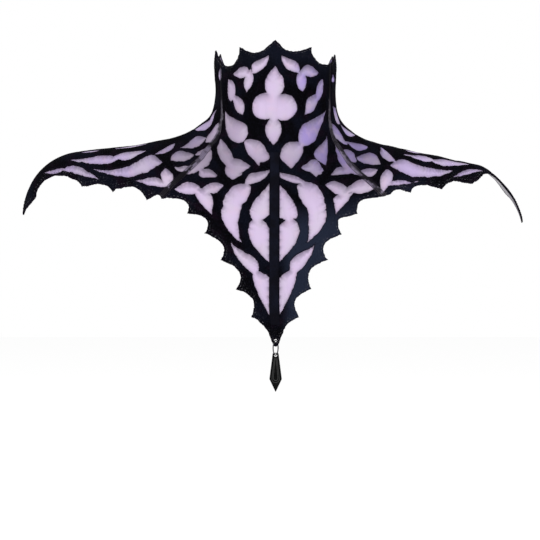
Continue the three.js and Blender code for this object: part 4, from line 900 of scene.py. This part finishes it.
def painted_shading(azimuth, drop, edge):
    """Painted shade: how light the tulle reads, less in the hollow at the foot of the neck, and round its sides."""
    a = np.abs(azimuth)
    hollow = np.exp(-((drop - 108) / 24) ** 2) * (1 - smooth((a - 68) / 14))
    sides = smooth((a - 20) / 26) * (1 - smooth((a - 64) / 16)) * (1 - smooth((drop - 118) / 30))
    level = (1 - 0.34 * hollow) * (1 - sides * (0.13 + 0.15 * smooth((drop - 25) / 50)))
    return level * (1 - 0.15 * smooth((-azimuth - 62) / 8) - 0.04 * smooth((azimuth - 62) / 8))


def painted_sheen(azimuth, drop, edge):
    """Painted sheen: 1 on the lower edge of the bib at the right, where the velvet's pile reads lighter and bluer."""
    low = smooth((drop - 138) / 30) * smooth((azimuth - 2) / 8) * (1 - smooth((azimuth - 62) / 10))
    return np.clip(1.0 * low + 0.18 * np.exp(-((drop - 14) / 12) ** 2) * (np.abs(azimuth) < 60), 0, 1)


OUTLINE_TREE = tree_of(OUTLINE)


def lint(azimuth, drop, edge):
    """1 by the outer edge, fading inward."""
    return 1 - smooth((near(OUTLINE_TREE, flat(np.stack([azimuth, drop], -1))) - 2.0) / 5.0)


RIMS = []            # edge points of the tracery
WINDOW_LOOPS = {side: [leaf_loop(side, row, 30 + i + 20 * side) for i, row in enumerate(FRONT_WINDOWS[side].values())]
                + [leaf_loop(side, row, 100 + i + 60 * side)
                   for i, row in enumerate({**WING_WINDOWS[side], **BACK_WINDOWS}.values())] for side in (-1, 1)}
CENTRE_LOOPS = [leaf_loop(1, CENTRE_WINDOWS["cross_foot"], 1), leaf_loop(1, CENTRE_WINDOWS["cross_top"], 2)]


def in_windows(points, loops):
    found = np.zeros(len(points), bool)
    for loop in loops:
        found |= within(loop, points)
    return found


def sheer(azimuth, drop, edge):
    """1 at the end of the right wing, whose inner side shows as a grey net."""
    return 0.92 * smooth((azimuth - 79) / 4) * smooth((drop - 195) / 10)


def shade(azimuth, drop, edge):
    """The shade of the velvet on the tulle beside it, deeper and longer below an edge."""
    points = flat(np.stack([azimuth, drop], -1))
    seen = in_windows(points, WINDOW_LOOPS[-1] + WINDOW_LOOPS[1] + CENTRE_LOOPS)
    found = [RIM_TREE.find((p[0], p[1], 0)) for p in points]
    away = np.array([f[2] for f in found])
    above = np.clip((np.array([f[0][1] for f in found]) - points[:, 1]) / np.maximum(away, 0.3), 0, 1)
    return np.where(seen, (0.30 + 0.46 * above) * np.exp(-(away / (1.4 + 2.6 * above)) ** 1.3),
                    0.62 - sheer(azimuth, drop, edge) * (0.45 - 0.80 * smooth((drop - 220) / 26)))


def hem_share(azimuth, drop, edge):
    """1 near the outer edge, 0 along the seams."""
    return (near(OUTLINE_TREE, flat(np.stack([azimuth, drop], -1))) < 2.2).astype(float)


def tulle_top(edge, x, drop):
    return np.full(len(edge), TULLE_HIGH)


def velvet_top(edge, x, drop):
    t = 1 - np.clip(edge / 0.95, 0, 1)
    rise = np.sqrt(np.clip(1 - t * t, 0, 1))
    pile = 0.05 * np.sin(x * 2.1 + 3 * np.sin(drop * 0.9)) * np.sin(drop * 1.9)
    return VELVET_LOW + (VELVET_HIGH - VELVET_LOW) * (0.22 + 0.78 * rise) + pile * rise


both = lambda owners: 0 in owners and 1 in owners
eye = circle(0, EYE_DROP, EYE_RADIUS)
# The tracery.
half_tape = TAPE_WIDTH / 2 + EDGE_GAP
loops = [OUTLINE, area_front(half_tape), TICK, eye, flat(band(BAR_WIDTH, 86, 262, 60)), *CENTRE_LOOPS]
first = 5
for side in (-1, 1):
    loops += WINDOW_LOOPS[side][:len(FRONT_WINDOWS[side])]
windows = set(range(first, len(loops)))
def keep_front(o):
    if 1 not in o or 3 in o or not (0 in o or 2 in o):
        return False
    return not (o & windows) or (4 in o and 5 not in o)
tracery_front, traced_area, _ = cloth("front_tracery", loops, keep_front, VELVET_LOW, velvet_top,
                                      attributes={"painted_sheen": painted_sheen, "lint": lint}, material=VELVET, rims=RIMS)
tracery_sides = {}
for side, word in ((-1, "left"), (1, "right")):
    loops = [OUTLINE, area_side(side, half_tape, CLOSURE_WIDTH / 2 + EDGE_GAP)]
    loops += WINDOW_LOOPS[side][len(FRONT_WINDOWS[side]):]
    windows = set(range(2, len(loops)))
    tracery_sides[word] = cloth(f"{word}_tracery", loops, lambda o, w=windows: both(o) and not (o & w),
                                VELVET_LOW, velvet_top, attributes={"painted_sheen": painted_sheen, "lint": lint}, material=VELVET, rims=RIMS)
RIM_TREE = tree_of(np.concatenate(RIMS))

# The tulle under it.
TULLE_DATA = {"painted_light_hue": painted_light_hue, "painted_shading": painted_shading, "shade": shade, "sheer": sheer, "hem": hem_share}
tulle_front, front_area, v_front = cloth(
    "front_panel", [OUTLINE, area_front(EDGE_GAP / 2), eye], lambda o: both(o) and 2 not in o,
    TULLE_LOW, tulle_top, grid=TULLE_GRID, offsets=(1.0,), attributes=TULLE_DATA, material=TULLE)
tulle_sides = {}
for side, word in ((-1, "left"), (1, "right")):
    tulle_sides[word] = cloth(
        f"{word}_panel", [OUTLINE, area_side(side, EDGE_GAP / 2, EDGE_GAP / 2)], both,
        TULLE_LOW, tulle_top, grid=TULLE_GRID, offsets=(1.0,), attributes=TULLE_DATA, material=TULLE)

# The seam tapes.
def tape_top(edge, x, drop):
    return 1.55 + 0.12 * np.clip(edge / 1.2, 0, 1)
tapes = {}
for side, word in ((-1, "left"), (1, "right")):
    loop = flat(seam_line(side, -TAPE_WIDTH / 2 - 0.25) + seam_line(side, TAPE_WIDTH / 2 + 0.25)[::-1])
    def across(azimuth, drop, edge, side=side):
        middle = seam_azimuth(drop)
        return (np.abs(azimuth) - middle) * DEG * look(R_GRID, middle, drop) / (TAPE_WIDTH / 2)
    def bare(azimuth, drop, edge, side=side):
        """1 where the tape crosses a window."""
        return in_windows(flat(np.stack([azimuth, drop], -1)), WINDOW_LOOPS[side]).astype(float)
    def lit(azimuth, drop, edge, side=side):
        """1 where its threads catch the light: down the neck, and at the hem."""
        return np.clip(0.7 * smooth((drop - 46) / 14) * (1 - smooth((drop - 74) / 10))
                       + (0.24 if side > 0 else 0.08) * smooth((drop - 74) / 10) * (1 - smooth((drop - 120) / 14))
                       + (0.3 if side > 0 else 0.05) * smooth((drop - 136) / 8), 0, 1)
    tapes[word], _, _ = cloth(f"{word}_seam_tape", [OUTLINE, loop], both, VELVET_LOW, tape_top, grid=1.0,
                              offsets=(), attributes={"across": across, "bare": bare, "lit": lit}, material=TAPE)


def strip(name, azimuth, width, from_drop, to_drop, low, high, folds, material, step=1.0):
    """A flat ribbon down the cloth with rolled edges; folds are (drop, height, half length)."""
    n = int((to_drop - from_drop) / step)
    m = 10
    drops = np.linspace(from_drop, to_drop, n + 1)
    u = np.linspace(-1, 1, m + 1)
    u = np.sign(u) * np.abs(u) ** 0.8
    D, U = np.meshgrid(drops, u, indexing="ij")
    wide = width / 2 * (1 + 0.018 * np.sin(D / 3.1) + 0.012 * np.sin(D / 1.3 + 1))
    middle = upright_at(D) if azimuth == 0 else azimuth
    A = middle + U * wide / (look(R_GRID, np.full(D.shape, float(azimuth)), D) * DEG)
    crown = (1 - np.abs(U) ** 6) * 0.8 + 0.2
    lift = sum(h * np.exp(-((D + 0.9 * np.sin(U * 2.2 + at) - at) / half) ** 2) for at, h, half in folds) if folds else 0
    flats = flat(np.stack([A.ravel(), D.ravel()], -1))
    wave = ripple(flats[:, 0], D.ravel()) * 0.6
    top = put(A.ravel(), D.ravel(), (low + (high - low) * crown + lift).ravel() + wave)
    under = put(A.ravel(), D.ravel(), np.full(D.size, low) + (lift * 0.6).ravel() + wave if folds else np.full(D.size, low) + wave)
    k = (n + 1) * (m + 1)
    at = lambda i, j: i * (m + 1) + j
    faces = []
    for i in range(n):
        for j in range(m):
            faces.append((at(i, j), at(i + 1, j), at(i + 1, j + 1), at(i, j + 1)))
            faces.append((k + at(i, j), k + at(i, j + 1), k + at(i + 1, j + 1), k + at(i + 1, j)))
        faces.append((at(i, 0), k + at(i, 0), k + at(i + 1, 0), at(i + 1, 0)))
        faces.append((at(i, m), at(i + 1, m), k + at(i + 1, m), k + at(i, m)))
    for j in range(m):
        faces.append((at(0, j), at(0, j + 1), k + at(0, j + 1), k + at(0, j)))
        faces.append((at(n, j), k + at(n, j), k + at(n, j + 1), at(n, j + 1)))
    edge = np.minimum((1 - np.abs(U)) * width / 2, 5).ravel()
    chart = np.stack([flats[:, 0], flats[:, 1], np.zeros(len(flats))], -1)
    return new_mesh(name, np.concatenate([top, under]), faces,
                    {"edge": np.tile(edge, 2), "chart": np.tile(chart, (2, 1))}, material=material)


centre = strip("centre_ribbon", 0, STRIP_WIDTH, 97, 246, 2.3, 2.95,
               [(118, .25, 1.5), (150, .2, 2), (201.0, .45, 0.9), (222.5, .5, 0.8), (236, .3, 1.2)], RIBBON)
closure = strip("back_ribbon", 180, CLOSURE_WIDTH, 22.6, 140.9, 1.03, 2.0, [], RIBBON)


# ------------------------------------------------------------------ stitching
def thread_piece(name, lines, radius, material, sides=5, body="neckpiece"):
    """Short rounded threads along lines of points in metres."""
    points, faces = [], []
    for line in lines:
        line = np.asarray(line)
        way = np.gradient(line, axis=0)
        way /= np.linalg.norm(way, axis=1, keepdims=True) + 1e-12
        ref = np.array([0.13, -0.94, 0.31])
        one = np.cross(way, ref)
        one /= np.linalg.norm(one, axis=1, keepdims=True)
        two = np.cross(way, one)
        n, start = len(line), len(points)
        for i in range(n):
            r = radius * (0.45 if i in (0, n - 1) else 1.0)
            for s in range(sides):
                a = 2 * math.pi * s / sides
                points.append(line[i] + (one[i] * math.cos(a) + two[i] * math.sin(a)) * r)
        for i in range(n - 1):
            for s in range(sides):
                t = (s + 1) % sides
                a, b = start + i * sides, start + (i + 1) * sides
                faces.append((a + s, a + t, b + t, b + s))
        faces.append(tuple(start + s for s in range(sides))[::-1])
        faces.append(tuple(start + (n - 1) * sides + s for s in range(sides)))
    return new_mesh(name, points, faces, body=body, material=material, sharp=0)


def stitch_line(run, inset, pitch, length, height, clear):
    """Stitches beside a flat run, on its inner side."""
    run = spaced(flat(run), 0.5)
    way = np.gradient(run, axis=0)
    way /= np.linalg.norm(way, axis=1, keepdims=True)
    line = run + np.stack([-way[:, 1], way[:, 0]], -1) * inset
    s = np.concatenate([[0], np.cumsum(np.linalg.norm(np.diff(line, axis=0), axis=1))])
    found = []
    for start in np.arange(pitch * 0.4, s[-1] - length, pitch):
        at = start + np.array([0, 0.25, 0.5, 0.75, 1]) * length
        p = np.stack([np.interp(at, s, line[:, 0]), np.interp(at, s, line[:, 1])], -1)
        if near(OUTLINE_TREE, p[[0, 2, 4]]).min() < clear:
            continue
        azimuth, drop = unflat(p)
        lift = height + np.array([-0.35, 0.02, 0.12, 0.02, -0.35]) + ripple(p[:, 0], drop)
        found.append(put(azimuth, drop, lift))
    return found


lines = []
for side in (-1, 1):
    top, hem = edge_line(COLLAR_TOP[side], 12), edge_line(HEM[side][1:], 12)
    for run in top[:-1]:
        lines += stitch_line([on_side(side, p) for p in run], -1.5 * side, 2.6, 1.5, VELVET_HIGH, 1.25)
    for run in hem[:-1]:
        lines += stitch_line([on_side(side, p) for p in run], 1.6 * side, 2.8, 1.6, VELVET_HIGH, 1.3)
edge_stitches = thread_piece("edge_stitching", lines, 0.00020, THREAD)
back = []
for shift in (-CLOSURE_WIDTH / 2 + 1.1, CLOSURE_WIDTH / 2 - 1.1):
    for start in np.arange(25, 138, 3.2):
        d = start + np.array([0, 0.25, 0.5, 0.75, 1]) * 1.9
        a = 180 + shift / (look(R_GRID, np.full(5, 180.0), d) * DEG)
        back.append(put(a, d, 2.0 + np.array([-0.35, 0.02, 0.12, 0.02, -0.35]) + 0.6 * ripple(flat(np.stack([a, d], -1))[:, 0], d)))
back_stitches = thread_piece("back_stitching", back, 0.00020, THREAD)


# ------------------------------------------------------------------ ring and drop
EYE = put(np.array([0.0]), np.array([EYE_DROP]), np.array([(1.0 + 0.55 + 1.1) / 2]))[0] * 1000
RING_R, RING_WIRE, RING_TURN = 6.0, 0.5, 20
RING_C = EYE + np.array([0, 0, -RING_R])
DROP_C = RING_C + np.array([0, 0, -RING_R])


def ring_piece():
    """A round wire ring, its ends meeting in a fine split at one side."""
    points, faces, n, m = [], [], 96, 12
    flatwise = np.array([-math.sin(RING_TURN * DEG), -math.cos(RING_TURN * DEG), 0])
    normal = np.array([math.cos(RING_TURN * DEG), -math.sin(RING_TURN * DEG), 0])
    up = np.array([0, 0, 1])
    for i in range(n + 1):
        a = (62 + 1.6 + (360 - 3.2) * i / n) * DEG
        out = flatwise * math.cos(a) + up * math.sin(a)
        for end in ([0.62, 1] if i == 0 else [1, 0.62] if i == n else [1]):
            for s in range(m):
                b = 2 * math.pi * s / m
                r = RING_WIRE * end
                points.append((RING_C + out * RING_R + (out * math.cos(b) + normal * math.sin(b)) * r) * 0.001)
    rows = len(points) // m
    for i in range(rows - 1):
        for s in range(m):
            t = (s + 1) % m
            faces.append((i * m + s, (i + 1) * m + s, (i + 1) * m + t, i * m + t))
    faces.append(tuple(range(m)))
    faces.append(tuple((rows - 1) * m + s for s in range(m))[::-1])
    return new_mesh("wire_ring", points, faces, body="ring", material=METAL, sharp=40)


def drop_piece():
    """A spear drop: bevelled edges, sloping facets, and two nested teardrop ridges on each face."""
    outline = np.array([(1.3, 1.9), (2.45, 1.3), (5.1, -19.6), (0.25, -29.8)])
    loop = np.concatenate([outline, outline[::-1] * [-1, 1]])

    def inset(scale_x, top, shoulder, tip):
        half = np.array([(1.3 * scale_x, top), (2.45 * scale_x, top - 0.5), (5.1 * scale_x, shoulder), (0.12, tip)])
        return np.concatenate([half, half[::-1] * [-1, 1]])

    def teardrop(top, wide, bottom, narrow, n=22):
        """Narrow at the top, round at the bottom."""
        side = []
        for i in range(n + 1):
            t = i / n
            z = top + (bottom + wide - top) * t
            side.append((narrow + (wide - narrow) * t ** 0.9, z))
        arc = [(wide * math.cos(a * DEG), bottom + wide + wide * math.sin(a * DEG)) for a in range(-9, -91, -9)]
        right = side + arc
        return np.array(right + [(-x, z) for x, z in right[::-1]][1:])
    bevel = inset(0.86, 1.55, -19.5, -28.6)
    loops, heights = [loop, bevel], [0.75, 1.15]
    for top, wide, bottom, narrow, profile in (
            (-2.2, 3.0, -22.4, 0.95, (1.95, 2.2, 1.85)), (-3.2, 1.9, -20.7, 0.45, (2.0, 2.2, 1.95))):
        for shift, h in zip((0.26, 0.0, -0.26), profile):
            loops.append(teardrop(top + shift, wide + shift, bottom - shift, narrow + shift * 0.8))
            heights.append(h)
    hole = np.array([(1.35 * math.cos(a), 1.35 * math.sin(a)) for a in np.arange(20) / 20 * 2 * math.pi])
    loops.append(hole * 0.94)
    heights.append(0.8)
    loops = [ccw(l) for l in loops]
    border = np.concatenate(loops)
    h = np.concatenate([np.full(len(l), x) for l, x in zip(loops, heights)])
    faces, start = [], 0
    for l in loops:
        faces.append(list(range(start, start + len(l))))
        start += len(l)
    v, _, f, ov, _, of = delaunay_2d_cdt([Vector((float(p[0]), float(p[1]))) for p in border], [], faces, 0, 1e-5, True)
    last = len(loops) - 1
    tris = np.array([t for t, o in zip(f, of) if 0 in o and last not in o], int)
    v = np.array([(p.x, p.y) for p in v])
    a, b, c = v[tris[:, 0]], v[tris[:, 1]], v[tris[:, 2]]
    turn = (b[:, 0] - a[:, 0]) * (c[:, 1] - a[:, 1]) - (b[:, 1] - a[:, 1]) * (c[:, 0] - a[:, 0])
    tris[turn < 0] = tris[turn < 0][:, ::-1]
    height = np.array([max((h[i] for i in own), default=1.0) for own in ov])
    taper = np.clip((v[:, 1] + 29.8) / 9, 0.12, 1)
    height = height * taper
    # Painted highlight on the crests of the teardrop ridges, faint on their flanks.
    crest_highlight = np.array([1.0 if any(abs(h[i] - 2.2) < 1e-6 for i in own) else 0.03 if any(h[i] > 1.5 for i in own) else 0.0 for own in ov])
    n = len(v)
    rim = border_edges(tris)
    front = np.stack([v[:, 0], -height, v[:, 1]], -1)
    rear = np.stack([v[:, 0], height, v[:, 1]], -1)
    points = (np.concatenate([front, rear]) + DROP_C) * 0.001
    faces = list(tris) + [t[::-1] + n for t in tris] + [(p, p + n, q + n, q) for p, q in rim]
    return new_mesh("spear_drop", points, faces, {"crest_highlight": np.tile(crest_highlight, 2)}, body="pendant", material=JET, sharp=14)


ring, drop = ring_piece(), drop_piece()

# ------------------------------------------------------------------ which CAD nodes each stands for
for obj, nodes, slot in (
        (tulle_front, ["tulle_front"], "tulle"), (tulle_sides["left"][0], ["tulle_side_left"], "tulle"),
        (tulle_sides["right"][0], ["tulle_side_right"], "tulle"), (tracery_front, ["tracery_front"], "velvet"),
        (tracery_sides["left"][0], ["tracery_side_left"], "velvet"),
        (tracery_sides["right"][0], ["tracery_side_right"], "velvet"),
        (tapes["left"], ["seam_tape_left"], "tape"), (tapes["right"], ["seam_tape_right"], "tape"),
        (centre, ["centre_strip"], "ribbon"), (closure, ["back_closure"], "ribbon"),
        (edge_stitches, [], "velvet"), (back_stitches, [], "ribbon"),
        (ring, ["jump_ring"], "ring_metal"), (drop, ["drop"], "jet")):
    if nodes:
        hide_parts(*nodes)

# ------------------------------------------------------------------ floor and light
def floor_piece():
    mesh = bpy.data.meshes.new("floor")
    s, z = 9.0, -0.42
    mesh.from_pydata([(-s, -s, z), (s, -s, z), (s, s, z), (-s, s, z)], [], [(0, 1, 2, 3)])
    look = Look("pale_floor", base_color=(0.97, 0.97, 0.97), roughness=1.0, specular_ior_level=0.0)
    mesh.materials.append(look.material)
    obj = bpy.data.objects.new("floor", mesh)
    scene.collection.objects.link(obj)


def lamp(name, place, aim, width, height, power, colour):
    data = bpy.data.lights.new(name, "AREA")
    data.shape, data.size, data.size_y = "RECTANGLE", width, height
    data.energy, data.color = power, colour
    obj = bpy.data.objects.new(name, data)
    obj.location = place
    obj.rotation_euler = (Vector(aim) - Vector(place)).to_track_quat("-Z", "Y").to_euler()
    scene.collection.objects.link(obj)


floor_piece()
lamp("key", (-1.5, -2.2, 2.0), (0, 0, -0.03), 1.6, 1.6, 62, (1.0, 0.985, 0.97))
lamp("fill", (1.9, -1.6, 0.5), (0, 0, -0.03), 1.4, 1.4, 14, (0.93, 0.92, 1.0))
world = bpy.data.worlds.new("studio")
scene.world = world
world.use_nodes = True
background = world.node_tree.nodes["Background"]
background.inputs["Color"].default_value = (1, 1, 1, 1)
background.inputs["Strength"].default_value = 1.0
scene.view_settings.view_transform = "Standard"
scene.view_settings.look = "None"

bpy.context.view_layer.update()
